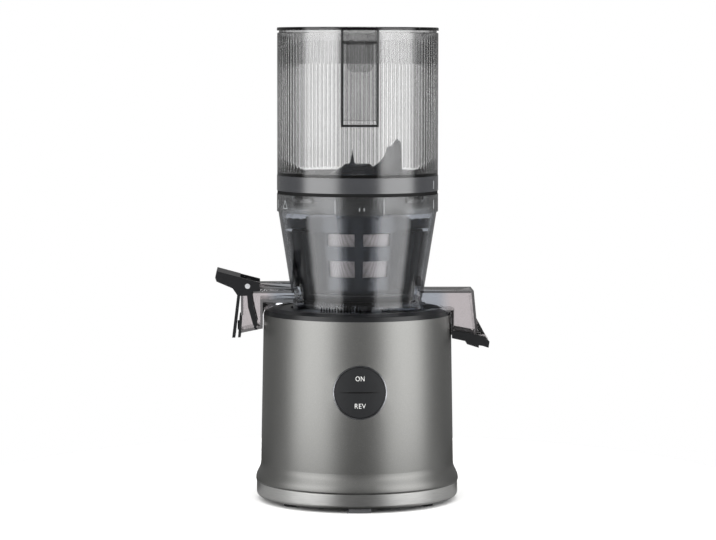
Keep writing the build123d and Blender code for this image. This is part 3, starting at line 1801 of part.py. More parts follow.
with BuildPart() as feed_chute:
    plate(chute_width, chute_depth, chute_low, lid_low, at=(0, chute_y))
    plate(feed_width, feed_depth, chute_low, lid_low, at=(0, chute_y), mode=Mode.SUBTRACT)
    with BuildSketch(Plane.YZ.offset(-chute_width)) as slant:
        with BuildLine():
            Polyline(
                (chute_front - chute_wall, chute_low),
                (chute_back + chute_wall, chute_low + chute_slant),
                (chute_back + chute_wall, chute_low - chute_slant),
                (chute_front - chute_wall, chute_low - chute_slant),
                close=True,
            )
        make_face()
    extrude(slant.sketch, amount=2 * chute_width, mode=Mode.SUBTRACT)
    gate_at = (gate_y, gate_pin_z)
    level_pin(
        gate_pin_radius + shaft_fit, gate_at, -chute_width, chute_width, mode=Mode.SUBTRACT
    )

with BuildPart() as flap_pin:
    level_pin(gate_pin_radius, gate_at, -chute_width / 2, chute_width / 2)

with BuildPart() as chute_flap:
    gate_bore = gate_pin_radius + shaft_fit
    plate(gate_width, gate_thickness, gate_low, gate_pin_z, at=(0, gate_y))
    fillet(chute_flap.edges().filter_by(Axis.Y).group_by(Axis.Z)[0], radius=gate_corner)
    gate_knuckle = gate_bore + 0.4 * gate_thickness
    level_pin(gate_knuckle, gate_at, -gate_width / 2, gate_width / 2)
    level_pin(gate_bore, gate_at, -gate_width / 2, gate_width / 2, mode=Mode.SUBTRACT)

# ---------------------------------------------------------------------------
# Labels and files
# ---------------------------------------------------------------------------

pieces = {
    "base_ring": base_ring,
    "base_shell": base_shell,
    "bottom_plate": bottom_plate,
    "rubber_feet": rubber_feet,
    "front_foot": front_foot,
    "case_screws": case_screws,
    "deck_collar": deck_collar,
    "deck_well": deck_well,
    "shaft_seal": shaft_seal,
    "cord_gland": cord_gland,
    "button_bezel": button_bezel,
    "rocker_button": rocker_button,
    "switch_housing": switch_housing,
    "switch_module": switch_module,
    "motor_stator": motor_stator,
    "motor_windings": motor_windings,
    "motor_rotor": motor_rotor,
    "motor_pinion": motor_pinion,
    "cooling_fan": cooling_fan,
    "lower_carrier": lower_carrier,
    "vibration_mounts": vibration_mounts,
    "motor_bolts": motor_bolts,
    "motor_bearings": motor_bearings,
    "gearbox_housing": gearbox_housing,
    "gearbox_cover": gearbox_cover,
    "gearbox_screws": gearbox_screws,
    "gearbox_bearings": gearbox_bearings,
    "countershaft_gear": countershaft_gear,
    "countershaft": countershaft,
    "output_gear": output_gear,
    "drive_shaft": drive_shaft,
    "control_board": control_board,
    "run_capacitor": run_capacitor,
    "drum": drum,
    "drum_foot": drum_foot,
    "drum_floor": drum_floor_disc,
    "juice_spout": juice_spout,
    "residue_spout": residue_spout,
    "drum_shaft_seal": drum_shaft_seal,
    "idler_gear": idler_gear,
    "brush_frame": brush_frame,
    "wiper_blades": wiper_blades,
    "strainer": strainer,
    "strainer_mesh": strainer_mesh,
    "auger": auger,
    "auger_hub_insert": auger_hub_insert,
    "cutting_wing": cutting_wing,
    "juice_cap_lever": juice_cap_lever,
    "juice_cap_pin": juice_cap_pin,
    "juice_cap_seal": juice_cap_seal,
    "residue_lever": residue_lever,
    "residue_lever_pin": residue_lever_pin,
    "residue_seal": residue_seal,
    "hopper": hopper,
    "hopper_collar": hopper_collar,
    "hopper_gasket": hopper_gasket,
    "lid": lid,
    "feed_chute": feed_chute,
    "flap_pin": flap_pin,
    "chute_flap": chute_flap,
}

os.makedirs("parts", exist_ok=True)
for name, piece in pieces.items():
    piece.part.label = name
    export_step(piece.part, f"parts/{name}.step")
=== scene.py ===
"""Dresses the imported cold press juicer: finishes, fluted hopper, small details, lettering and stage."""

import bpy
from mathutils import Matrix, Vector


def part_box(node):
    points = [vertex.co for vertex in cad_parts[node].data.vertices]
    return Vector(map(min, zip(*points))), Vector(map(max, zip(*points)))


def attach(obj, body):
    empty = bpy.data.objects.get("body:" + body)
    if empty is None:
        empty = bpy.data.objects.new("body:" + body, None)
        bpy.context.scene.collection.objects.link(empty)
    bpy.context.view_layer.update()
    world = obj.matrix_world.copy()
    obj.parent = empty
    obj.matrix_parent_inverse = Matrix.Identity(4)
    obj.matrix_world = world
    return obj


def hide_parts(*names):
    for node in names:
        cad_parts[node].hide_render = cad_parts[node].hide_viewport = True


bl_info = {
    "name": "Cold press juicer",
    "version": (1, 0, 0),
    "blender": (4, 5, 0),
    "location": "3D View > Sidebar > Juicer",
    "description": "Finishes the parts of a cold press juicer and builds its fine details",
    "category": "Object",
}

from math import atan2, cos, hypot, pi, radians, sin

import bmesh
import bpy
from bpy.props import FloatProperty, FloatVectorProperty, IntProperty, PointerProperty
from bpy.types import Node, NodeSocket, Operator, Panel, PropertyGroup
from mathutils import Vector

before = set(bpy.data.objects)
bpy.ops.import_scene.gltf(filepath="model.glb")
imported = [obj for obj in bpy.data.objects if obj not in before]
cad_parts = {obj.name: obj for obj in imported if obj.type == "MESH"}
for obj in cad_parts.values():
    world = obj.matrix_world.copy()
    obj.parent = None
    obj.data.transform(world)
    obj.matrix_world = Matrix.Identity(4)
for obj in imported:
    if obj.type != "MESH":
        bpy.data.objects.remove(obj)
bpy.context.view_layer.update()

MM = 0.001
TURN = 2 * pi
FRONT = -pi / 2
BACK = pi / 2

# Points nearer to each other than this are one.
SAME_POINT = 0.002 * MM

# Sizes of the hopper that no box of the frame gives.
HOPPER_WALL = 2.5 * MM
SPIGOT_OUTER, SPIGOT_INNER, SPIGOT_LOW = 73.2 * MM, 71.0 * MM, 287.4 * MM
THROAT_INNER, THROAT_OUTER = 46.0 * MM, 48.5 * MM
FUNNEL_START, FUNNEL_SLOPE = 320.0 * MM, 0.525
COLLAR_WALL, COLLAR_GAP = 2.2 * MM, 0.1 * MM
LUG_OUTER, LUG_LOW, LUG_HIGH = 75.1 * MM, 289.1 * MM, 292.1 * MM
LUG_TURN, LUG_FIRST, LUG_COUNT = radians(20), radians(45), 4

# The shell's cone, from its foot to the deck.
CONE_LOW, CONE_LOW_RADIUS, CONE_HIGH_RADIUS = 37.0 * MM, 94.2 * MM, 91.5 * MM

# The camera's place and aim, in degrees from straight in front and in metres.
CAMERA_TURN, CAMERA_DISTANCE, CAMERA_HEIGHT = 1.7, 2.6095, 0.4365
CAMERA_PITCH, CAMERA_HEADING, CAMERA_ROLL = 4.655, 1.705, 0.1
LENS_MM, SENSOR_MM, VIEW_END = 134.73, 36.0, 30.0

# The solids that are one moulding in the real juicer.
DRUM_SOLIDS = ("drum", "drum_foot", "drum_floor", "juice_spout", "residue_spout")


# Nodes and finishes
# ------------------


def linear(code):
    """The linear colour of an sRGB hex value, with an alpha of one."""
    parts = [int(code[place : place + 2], 16) / 255 for place in (0, 2, 4)]
    return [c / 12.92 if c <= 0.04045 else ((c + 0.055) / 1.055) ** 2.4 for c in parts] + [1.0]


def tinted(colour, share):
    """A colour made lighter or darker by a share."""
    return [min(1.0, part * share) for part in colour[:3]] + [1.0]


def add(tree, kind, inputs=None, stops=(), **settings):
    """Adds a node with its settings and ramp stops, and sets its inputs to values, nodes or sockets."""
    node = tree.nodes.new(kind)
    for key, value in settings.items():
        setattr(node, key, value)
    for key, value in (inputs or {}).items():
        if isinstance(value, Node):
            value = next(output for output in value.outputs if output.enabled)
        if isinstance(value, NodeSocket):
            tree.links.new(value, node.inputs[key])
        else:
            node.inputs[key].default_value = value
    for number, (position, colour) in enumerate(stops):
        elements = node.color_ramp.elements
        element = elements[number] if number < 2 else elements.new(position)
        element.position, element.color = position, colour
    return node


def new_material(name, **sockets):
    """A material with one Principled shader, whose sockets are set by name with _ for a space."""
    material = bpy.data.materials.new(name)
    material.use_nodes = True
    tree = material.node_tree
    shader = tree.nodes["Principled BSDF"]
    for key, value in sockets.items():
        shader.inputs[key.replace("_", " ")].default_value = value
    return material, tree, shader


def coordinates(tree):
    """The three object coordinates, each on its own."""
    at = add(tree, "ShaderNodeTexCoord").outputs["Object"]
    return add(tree, "ShaderNodeSeparateXYZ", {0: at}).outputs


def skin(
    tree, shader, size, tones=(), rough=None, relief=0.0, strength=0.5, detail=2.0, stretch=1.0, cells=None
):
    """Lays one pattern of grains, or of cells, on a shader as its tones, its roughness and its relief.

    size and relief are in millimetres. stretch presses the pattern together along the drive axis.
    cells is how irregular the cells are, and is left out for grains.
    """
    at = add(tree, "ShaderNodeTexCoord").outputs["Object"]
    at = add(tree, "ShaderNodeMapping", {"Vector": at, "Scale": (1, 1, stretch)})
    inputs = {"Vector": at, "Scale": 1 / (size * MM)}
    if cells is None:
        pattern = add(tree, "ShaderNodeTexNoise", {**inputs, "Detail": detail})
    else:
        pattern = add(tree, "ShaderNodeTexVoronoi", {**inputs, "Randomness": cells})
    if tones:
        ramp = add(tree, "ShaderNodeValToRGB", {0: pattern}, tones)
        tree.links.new(ramp.outputs[0], shader.inputs["Base Color"])
    if rough:
        spread = add(tree, "ShaderNodeMapRange", {0: pattern, "To Min": rough[0], "To Max": rough[1]})
        tree.links.new(spread.outputs[0], shader.inputs["Roughness"])
    if relief:
        inputs = {"Height": pattern, "Distance": relief * MM, "Strength": strength}
        tree.links.new(add(tree, "ShaderNodeBump", inputs).outputs[0], shader.inputs["Normal"])


def change_where(tree, mask, colour, rough=None):
    """Changes a skin's colour, and its roughness, where a mask is one."""
    shader = tree.nodes["Principled BSDF"]
    under = shader.inputs["Base Color"].links[0].from_socket
    mix = add(tree, "ShaderNodeMix", {0: mask, 6: under, 7: colour}, data_type="RGBA")
    tree.links.new(mix.outputs[2], shader.inputs["Base Color"])
    if rough is not None:
        under = shader.inputs["Roughness"].links[0].from_socket
        mix = add(tree, "ShaderNodeMix", {0: mask, 2: under, 3: rough})
        tree.links.new(mix.outputs[0], shader.inputs["Roughness"])


def above(tree, axis, edge, soft=0.4 * MM, size=False):
    """A mask that is one where a coordinate, or its size without its sign, is over an edge."""
    value = coordinates(tree)[axis]
    if size:
        value = add(tree, "ShaderNodeMath", {0: value}, operation="ABSOLUTE")
    return add(tree, "ShaderNodeMapRange", {0: value, "From Min": edge - soft, "From Max": edge + soft})


def painted_metallic(colour):
    # Metallic paint sprayed on moulded ABS: a soft satin gleam full of very fine bright flakes.
    # Real flakes are about 0.05 mm; they are drawn at 0.45 mm so that they show.
    material, tree, shader = new_material(
        "satin metallic paint on ABS", Metallic=0.95, Coat_Weight=0.1, Coat_Roughness=0.4
    )
    stops = [(0, tinted(colour, 0.84)), (0.5, colour), (1, tinted(colour, 1.25))]
    skin(tree, shader, 0.45, tones=stops, rough=(0.3, 0.5), cells=1.0)
    skin(tree, shader, 0.5, relief=0.01, strength=0.35)
    return material


def spun_aluminium(colour):
    # Aluminium turned on a lathe and anodised: fine level lines, 0.1 mm apart, drawn at 0.3 mm.
    material, tree, shader = new_material("anodised spun aluminium", Metallic=1.0)
    stops = [(0.25, tinted(colour, 0.86)), (0.75, tinted(colour, 1.08))]
    rough = (0.24, 0.38)
    skin(tree, shader, 12, tones=stops, rough=rough, relief=0.02, strength=0.25, detail=3, stretch=40)
    return material


def moulded(name, colour, roughness, texture=0.25, depth=0.02, coat=0.0, contrast=0.12, level=0.5):
    """A moulded plastic: one colour with a slight cloudiness, and a spark-eroded or polished skin.

    texture is the size of the skin's grain and depth its height, both in millimetres.
    level is how much the skin reflects.
    """
    material, tree, shader = new_material(
        name, Coat_Weight=coat, Coat_Roughness=0.12, Specular_IOR_Level=level
    )
    stops = [(0.3, tinted(colour, 1 - contrast)), (0.7, tinted(colour, 1 + contrast))]
    skin(tree, shader, 9, tones=stops, detail=4)
    skin(tree, shader, texture, rough=(roughness * 0.88, min(1.0, roughness * 1.12)), relief=depth)
    return material


def bare_metal(name, dark, light, roughness, size=0.4, stretch=1.0):
    """A bare metal, whose marks of making are size millimetres across."""
    material, tree, shader = new_material(name, Metallic=1.0)
    stops = [(0.25, linear(dark)), (0.75, linear(light))]
    rough = (roughness * 0.8, roughness * 1.25)
    skin(tree, shader, size, tones=stops, rough=rough, relief=0.02, strength=0.3, detail=3, stretch=stretch)
    return material


def smoked(name, tint, density, roughness=0.03, tone="f4f4f4", level=0.5):
    """A clear moulded copolyester, whose tint and density colour the light inside its walls.

    tone is the colour of its skin and level how much it reflects.
    """
    material, tree, shader = new_material(
        name, Transmission_Weight=1.0, IOR=1.54, Specular_IOR_Level=level
    )
    stops = [(0.3, tinted(linear(tone), 0.97)), (0.7, linear(tone))]
    skin(tree, shader, 14, tones=stops, rough=(roughness * 0.6, roughness * 1.4), detail=3)
    skin(tree, shader, 30, relief=0.01, strength=0.1, detail=1)
    volume = add(tree, "ShaderNodeVolumeAbsorption", {"Color": tint, "Density": density})
    tree.links.new(volume.outputs[0], tree.nodes["Material Output"].inputs["Volume"])
    return material


# Meshes
# ------


def around(radius, angle, height):
    """The point at an angle round the drive axis."""
    return radius * cos(angle), radius * sin(angle), height


def linked(name, data):
    """A new object in the scene, at the origin."""
    piece = bpy.data.objects.new(name, data)
    bpy.context.scene.collection.objects.link(piece)
    return piece


def smoothed(mesh, sharp=30.0):
    """Shades a mesh smooth, but for edges sharper than an angle in degrees."""
    mesh.shade_smooth()
    mesh.set_sharp_from_angle(angle=radians(sharp))


def new_object(name, points, faces):
    """A smooth mesh object from its points and faces."""
    mesh = bpy.data.meshes.new(name)
    mesh.from_pydata(points, [], faces)
    mesh.update()
    if faces:
        smoothed(mesh)
    return linked(name, mesh)


def turned(profile, segments):
    """Points and faces of a closed (radius, height) outline turned about the drive axis."""
    points = [
        around(radius, TURN * step / segments, height)
        for step in range(segments)
        for radius, height in profile
    ]
    rows = len(profile)
    faces = []
    for step in range(segments):
        here, there = step * rows, (step + 1) % segments * rows
        for row in range(rows):
            after = (row + 1) % rows
            faces.append((here + row, there + row, there + after, here + after))
    return points, faces


def bent_strip(width, low, high, near, far, angle, lean=0.0, columns=6):
    """Points and faces of an upright strip bent round the drive axis at an angle.

    low and high are heights, near and far radii. lean moves its top along the bend.
    """
    points, faces = [], []
    for step in range(columns + 1):
        across = width * (step / columns - 0.5)
        for radius, height, shift in ((near, low, 0), (near, high, lean), (far, high, lean), (far, low, 0)):
            points.append(around(radius, angle + (across + shift) / far, height))
    for step in range(columns):
        here = 4 * step
        for side in range(4):
            after = (side + 1) % 4
            faces.append((here + side, here + after, here + 4 + after, here + 4 + side))
    faces += [(3, 2, 1, 0), tuple(4 * columns + side for side in range(4))]
    return points, faces


def joined(parts):
    """Several (points, faces) as one."""
    points, faces = [], []
    for part_points, part_faces in parts:
        start = len(points)
        points += list(part_points)
        faces += [tuple(start + corner for corner in face) for face in part_faces]
    return points, faces


def merged(mesh, outwards=True):
    """Merges a mesh's doubled points, and can turn its faces outwards."""
    work = bmesh.new()
    work.from_mesh(mesh)
    bmesh.ops.remove_doubles(work, verts=work.verts, dist=SAME_POINT)
    if outwards:
        bmesh.ops.recalc_face_normals(work, faces=work.faces)
    work.to_mesh(mesh)
    work.free()
    mesh.update()


def evaluated_mesh(piece):
    """The plain mesh that a piece's modifiers make."""
    bpy.context.view_layer.update()
    return bpy.data.meshes.new_from_object(piece.evaluated_get(bpy.context.evaluated_depsgraph_get()))


def applied(piece):
    """Turns a piece's modifiers into its plain mesh."""
    piece.data = evaluated_mesh(piece)
    piece.modifiers.clear()


def new_tree(name, sizes):
    """A Geometry Nodes tree with a geometry input, named inputs and a geometry output."""
    tree = bpy.data.node_groups.new(name, "GeometryNodeTree")
    for label, kind in (("Geometry", "Geometry"), *sizes, ("Material", "Material")):
        tree.interface.new_socket(label, in_out="INPUT", socket_type=f"NodeSocket{kind}")
    tree.interface.new_socket("Geometry", in_out="OUTPUT", socket_type="NodeSocketGeometry")
    return tree, add(tree, "NodeGroupInput").outputs


def close_tree(tree, geometry, material):
    """Ends a tree with plain geometry in its material."""
    real = add(tree, "GeometryNodeRealizeInstances", {0: geometry})
    painted = add(tree, "GeometryNodeSetMaterial", {0: real, "Material": material})
    add(tree, "NodeGroupOutput", {0: painted})


def grown(piece, tree, values):
    """Runs a Geometry Nodes tree on a piece with its inputs set by name, and keeps the plain mesh."""
    modifier = piece.modifiers.new(tree.name, "NODES")
    modifier.node_group = tree
    for item in tree.interface.items_tree:
        if item.in_out == "INPUT" and item.name in values:
            modifier[item.identifier] = values[item.name]
    applied(piece)


def dress(material, *names):
    """Gives CAD nodes a material."""
    for name in names:
        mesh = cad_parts[name].data
        mesh.materials.clear()
        mesh.materials.append(material)


def finish_piece(piece, body, material=None):
    """Gives a made piece its material and its body."""
    if material:
        piece.data.materials.clear()
        piece.data.materials.append(material)
    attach(piece, body)


def front_radius(height):
    """Radius of the shell's straight cone at a height, where the button's face meets it."""
    share = (height - CONE_LOW) / (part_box("base_shell")[1].z - CONE_LOW)
    return CONE_LOW_RADIUS + (CONE_HIGH_RADIUS - CONE_LOW_RADIUS) * share


# What a user would change
# ------------------------


def colour_property(name, description, code):
    return FloatVectorProperty(
        name=name, description=description, size=4, min=0, max=1, subtype="COLOR", default=linear(code)
    )


def length_property(name, description, millimetres):
    return FloatProperty(
        name=name, description=description, default=millimetres * MM, min=0, unit="LENGTH", precision=5
    )


class JuicerColours(PropertyGroup):
    """Colours of the juicer."""

    paint: colour_property("Body paint", "Silver-grey paint of the body", "7c7c7a")
    skirt: colour_property("Skirt ring", "Spun metal ring round the foot of the body", "dcdcda")
    deck: colour_property("Deck", "Satin black top of the body", "0c0d0f")
    button: colour_property("Button", "Rocker button in the body's front", "17181a")
    lettering: colour_property("Lettering", "Words on the rocker button", "cacac8")
    smoke: colour_property("Smoke", "Tint inside the smoked clear walls", "5a5a5c")
    spout: colour_property("Spout tone", "Faint warm tone of the spouts' skin", "e7e3e4")
    basket: colour_property("Basket", "Blue-grey of the strainer, the screw and the wing", "262b33")
    lever: colour_property("Levers", "Near black of the two levers", "0f1012")


class JuicerSizes(PropertyGroup):
    """Sizes of the fine details."""

    flute_count: IntProperty(
        name="Flutes", description="Flutes round the inside of the hopper", default=108, min=12, max=240
    )
    flute_depth: length_property("Flute depth", "How deep each flute is cut into the wall", 0.9)
    flute_low: length_property("Flutes start", "Height at which the flutes start", 321)
    flute_high: length_property("Flutes end", "Height at which the flutes end", 449)
    window_half: length_property("Window", "Half the width of the smooth front window", 58)
    window_fade: length_property("Window fade", "Width over which the flutes grow beside the window", 34)
    seam_half: length_property("Seam", "Half the width of the smooth strip behind", 1.4)
    letter_height: length_property("Letter height", "Height of a capital on the rocker", 4.7)
    letter_proud: length_property("Letter relief", "How far the printed letters stand proud", 0.06)
    # The groove across the rocker is drawn as a painted shadow, a near-black band.
    groove_half: length_property("Groove", "Half the length of the groove across the rocker", 18)
    mark_width: length_property("Mark width", "Width of the raised marks on the drum's ring", 0.7)
    mark_proud: length_property("Mark relief", "How far the raised marks stand proud", 0.25)


# The pieces
# ----------


class JUICER_OT_base(Operator):
    """Finishes the shell, its skirt ring, the deck, the feet and what closes the base below"""

    bl_idname = "juicer.base"
    bl_label = "Base"

    def execute(self, context):
        colours = context.scene.juicer_colours
        dress(painted_metallic(colours.paint), "base_shell")
        dress(spun_aluminium(colours.skirt), "base_ring")
        # Satin black ABS: a deep black deck with soft, blurred reflections of what stands on it.
        deck = moulded("satin black ABS, deck", colours.deck, 0.3, 0.6, 0.004)
        dress(deck, "deck_collar", "deck_well")
        # Natural rubber, compression moulded: dull, with a little bloom.
        dress(moulded("moulded black rubber", linear("19191a"), 0.78, 0.35, 0.05), "rubber_feet")
        # Grey TPE pad: satin and slightly lighter than the rubber.
        dress(moulded("moulded grey TPE", linear("4a4b4d"), 0.6, 0.3, 0.03), "front_foot")
        # Spark-eroded black ABS: an even dull texture.
        dress(moulded("textured black ABS", linear("1c1d1e"), 0.55, 0.3, 0.06), "bottom_plate")
        # Soft PVC round the lead's exit: black, with a faint sheen.
        dress(moulded("moulded black PVC", linear("141415"), 0.5, 0.3, 0.03), "cord_gland")
        return {"FINISHED"}


class JUICER_OT_switch(Operator):
    """Finishes the rocker switch and prints its two words"""

    bl_idname = "juicer.switch"
    bl_label = "Switch"

    def execute(self, context):
        colours, sizes = context.scene.juicer_colours, context.scene.juicer_sizes
        low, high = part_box("rocker_button")
        middle = (low.z + high.z) / 2
        # Fine-textured ABS: charcoal, soft highlight, a grain of 0.25 mm, and a painted shadow, a
        # near-black band along the groove.
        rocker = moulded(
            "fine textured charcoal ABS", colours.button, 0.5, 0.25, 0.02, contrast=0.05, level=0.35
        )
        tree = rocker.node_tree
        half, run_out = 0.55 * MM, 3 * MM
        over, under = above(tree, "Z", middle + half, half / 2), above(tree, "Z", middle - half, half / 2)
        level = add(tree, "ShaderNodeMath", {0: under, 1: over}, operation="SUBTRACT")
        beyond = above(tree, "X", sizes.groove_half, run_out, size=True)
        within = add(tree, "ShaderNodeMath", {0: 1.0, 1: beyond}, operation="SUBTRACT")
        groove_shadow = add(tree, "ShaderNodeMath", {0: level, 1: within}, operation="MULTIPLY")
        # Painted shadow: the band across the rocker is coloured near black where the groove's shade falls.
        change_where(tree, groove_shadow, linear("030303"))
        dress(rocker, "rocker_button")
        # Dark chrome on ABS: a thin rim that mirrors dimly, with a slightly wavy skin.
        material, tree, shader = new_material("dark chrome on ABS", Metallic=1.0)
        chrome = [(0.3, linear("808184")), (0.7, linear("a4a5a8"))]
        skin(tree, shader, 5, tones=chrome, rough=(0.12, 0.2), relief=0.01, strength=0.2)
        dress(material, "button_bezel")
        # Glass-filled PBT: black and dull, as switch bodies are.
        black = moulded("glass-filled black PBT", linear("1a1a1b"), 0.45, 0.3, 0.03)
        dress(black, "switch_housing", "switch_module")
        # Pad-printed ink: matt, light grey.
        ink = moulded("pad-printed light ink", colours.lettering, 0.6, 0.2, 0.005, contrast=0.03)
        rise, on_share, reverse_share = 13.0 * MM, 0.82, 0.9
        self.print_word("ON", middle + rise, on_share, sizes, ink)
        self.print_word("REV", middle - rise, reverse_share, sizes, ink)
        return {"FINISHED"}

    def print_word(self, word, height, share, sizes, ink):
        """One word, narrowed to a share of its width and bent onto the button's face."""
        capital, spacing, thinner = 0.7, 1.1, 0.05 * MM
        curve = bpy.data.curves.new(word.lower(), "FONT")
        curve.body = word
        curve.align_x, curve.align_y = "CENTER", "CENTER"
        curve.size = sizes.letter_height / capital
        curve.space_character = spacing
        curve.extrude = sizes.letter_proud / 2
        curve.offset = -thinner
        curve.resolution_u = 4
        text = linked(word.lower(), curve)
        flat = evaluated_mesh(text)
        bpy.data.objects.remove(text)
        for vertex in flat.vertices:
            across, up, out = vertex.co
            reach = front_radius(height + up) + out + sizes.letter_proud / 2
            vertex.co = around(reach, FRONT + share * across / reach, height + up)
        merged(flat)
        finish_piece(linked(f"word_{word.lower()}", flat), "rocker", ink)


class JUICER_OT_drive(Operator):
    """Finishes the motor, the gearbox and the electrics inside the base"""

    bl_idname = "juicer.drive"
    bl_label = "Drive"

    def execute(self, context):
        # Stamped electrical steel, stacked: dull grey edges of 0.5 mm sheets, seen as fine level lines.
        sheets = bare_metal("stacked electrical steel", "3f4043", "6a6c70", 0.45, 4, stretch=8)
        dress(sheets, "motor_stator")
        # Enamelled copper wire: shiny red-brown, wound in strands about 0.6 mm thick.
        material, tree, shader = new_material("enamelled copper wire", Metallic=0.85, Coat_Weight=0.4)
        wire = [(0.3, linear("6d2f17")), (0.7, linear("c0693a"))]
        skin(tree, shader, 0.6, tones=wire, rough=(0.25, 0.45), relief=0.3, strength=0.8, stretch=3)
        dress(material, "motor_windings")
        # Ground carbon steel: bright, with fine marks of the grinding wheel.
        steel = bare_metal("ground carbon steel", "8b8d90", "c3c5c7", 0.3, 0.3)
        dress(steel, "motor_rotor", "motor_pinion", "countershaft", "motor_bearings", "gearbox_bearings")
        # Zinc-plated steel: a cool, slightly cloudy shine.
        zinc = bare_metal("zinc-plated steel", "9a9da0", "cdd0d2", 0.35, 0.6)
        dress(zinc, "motor_bolts", "gearbox_screws")
        # Die-cast aluminium: pale, a little mottled and rough.
        cast = bare_metal("die-cast aluminium", "84868a", "b5b7b9", 0.5, 1.2)
        dress(cast, "lower_carrier", "gearbox_housing", "gearbox_cover")
        # Natural acetal: milky white gears with a waxy gloss.
        acetal = moulded("natural acetal", linear("dad6c8"), 0.35, 0.4, 0.01, contrast=0.04)
        dress(acetal, "countershaft_gear", "output_gear")
        # Polished stainless steel: a clean, hard shine.
        dress(bare_metal("polished stainless steel", "b0b2b5", "dcdee0", 0.16, 0.5), "drive_shaft")
        # Moulded polypropylene, rubber, nitrile: three blacks, from waxy to dead matt.
        dress(moulded("moulded black polypropylene", linear("202124"), 0.5, 0.4, 0.03), "cooling_fan")
        dress(moulded("soft black rubber", linear("151516"), 0.8, 0.4, 0.05), "vibration_mounts")
        dress(moulded("moulded nitrile seal", linear("101011"), 0.5, 0.3, 0.01), "shaft_seal")
        # Solder mask on glass-epoxy: glossy green. Flame-retardant ABS: plain grey.
        dress(moulded("green solder-masked laminate", linear("12452a"), 0.32, 1.0, 0.02), "control_board")
        dress(moulded("grey flame-retardant ABS", linear("8d9092"), 0.4, 0.4, 0.02), "run_capacitor")
        return {"FINISHED"}


class JUICER_OT_drum(Operator):
    """Joins the smoked drum and its spouts into one moulding, and adds the raised marks"""

    bl_idname = "juicer.drum"
    bl_label = "Drum"

    def execute(self, context):
        colours, sizes = context.scene.juicer_colours, context.scene.juicer_sizes
        # Clear copolyester with a smoke tint, injection moulded and polished: see-through and glossy,
        # darker and satin at the top ring, which is moulded double, and faintly warm at the spouts.
        drum = smoked("smoked clear copolyester", colours.smoke, 45.0, tone="d6d9de", level=1.0)
        ring_height, spout_fade = 20.6 * MM, 6 * MM
        ring_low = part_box("hopper_collar")[0].z - ring_height
        drum_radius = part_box("drum")[1].x
        tree = drum.node_tree
        spouts = above(tree, "X", drum_radius + spout_fade, spout_fade, size=True)
        change_where(tree, spouts, colours.spout)
        change_where(tree, above(tree, "Z", ring_low), linear("c8c9ca"), 0.2)
        piece = self.moulding()
        finish_piece(piece, "juicing_drum", drum)
        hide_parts(*DRUM_SOLIDS)
        self.ring_marks(sizes, drum_radius)
        # Injection-moulded silicone: soft, black and matt.
        dress(moulded("moulded black silicone", linear("121213"), 0.6, 0.3, 0.02), "drum_shaft_seal")
        return {"FINISHED"}

    def moulding(self):
        """The drum's solids as one closed skin."""
        copies = []
        for name in DRUM_SOLIDS:
            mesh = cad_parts[name].data.copy()
            merged(mesh, outwards=False)
            copies.append(bpy.data.objects.new(f"{name}_copy", mesh))
        piece, *others = copies
        piece.name = "drum_moulding"
        bpy.context.scene.collection.objects.link(piece)
        group = bpy.data.collections.new("drum_copies")
        for other in others:
            group.objects.link(other)
        union = piece.modifiers.new("union", "BOOLEAN")
        union.operation, union.solver = "UNION", "EXACT"
        union.operand_type, union.collection = "COLLECTION", group
        applied(piece)
        for other in others:
            bpy.data.objects.remove(other)
        bpy.data.collections.remove(group)
        merged(piece.data, outwards=False)
        smoothed(piece.data)
        weighted = piece.modifiers.new("weighted", "WEIGHTED_NORMAL")
        weighted.keep_sharp = True
        applied(piece)
        return piece

    def ring_marks(self, sizes, ring_radius):
        """The raised marks: two ribs, ticks and an open triangle on the ring, and a tick on the collar."""
        sunk = 0.05 * MM
        near, far = ring_radius - sunk, ring_radius + sizes.mark_proud
        wide, bold = sizes.mark_width, 1.6 * sizes.mark_width
        rib_low, rib_high = 283.5 * MM, 297.0 * MM
        tick_low, tick_high, dash = 286.0 * MM, 294.0 * MM, 3 * MM
        side, collar_lift = 4.5 * MM, 18.8 * MM
        rib_turns, dash_turns = (-17.4, 17.0), (-0.3, 2.9)
        lock_turn, triangle_turn, stop_turn = 67.2, -64, -78

        def mark(width, low, high, turn, shift=0.0, lean=0.0):
            """A mark at degrees from the front, shifted and leaning along the ring by lengths."""
            angle = FRONT + radians(turn) + shift / far
            return bent_strip(width, low, high, near, far, angle, lean)

        strips = [
            *[mark(wide, rib_low, rib_high, turn) for turn in rib_turns],
            *[mark(wide, tick_low, tick_low + dash, turn) for turn in dash_turns],
            mark(bold, tick_low, tick_high, lock_turn),
            mark(wide, tick_low, tick_high, triangle_turn, -side, side),
            mark(wide, tick_low, tick_high, triangle_turn, side, -side),
            mark(2 * side, tick_low, tick_low + wide, triangle_turn),
            mark(wide, tick_low, tick_high, stop_turn),
        ]
        # Satin copolyester where the mould is textured: paler than the ring round it.
        pale = moulded("textured smoked copolyester", linear("8c8e90"), 0.4, 0.3, 0.02)
        finish_piece(new_object("ring_marks", *joined(strips)), "juicing_drum", pale)
        tick = mark(bold, tick_low + collar_lift, tick_high + collar_lift, lock_turn)
        finish_piece(new_object("collar_tick", *tick), "hopper_unit", pale)


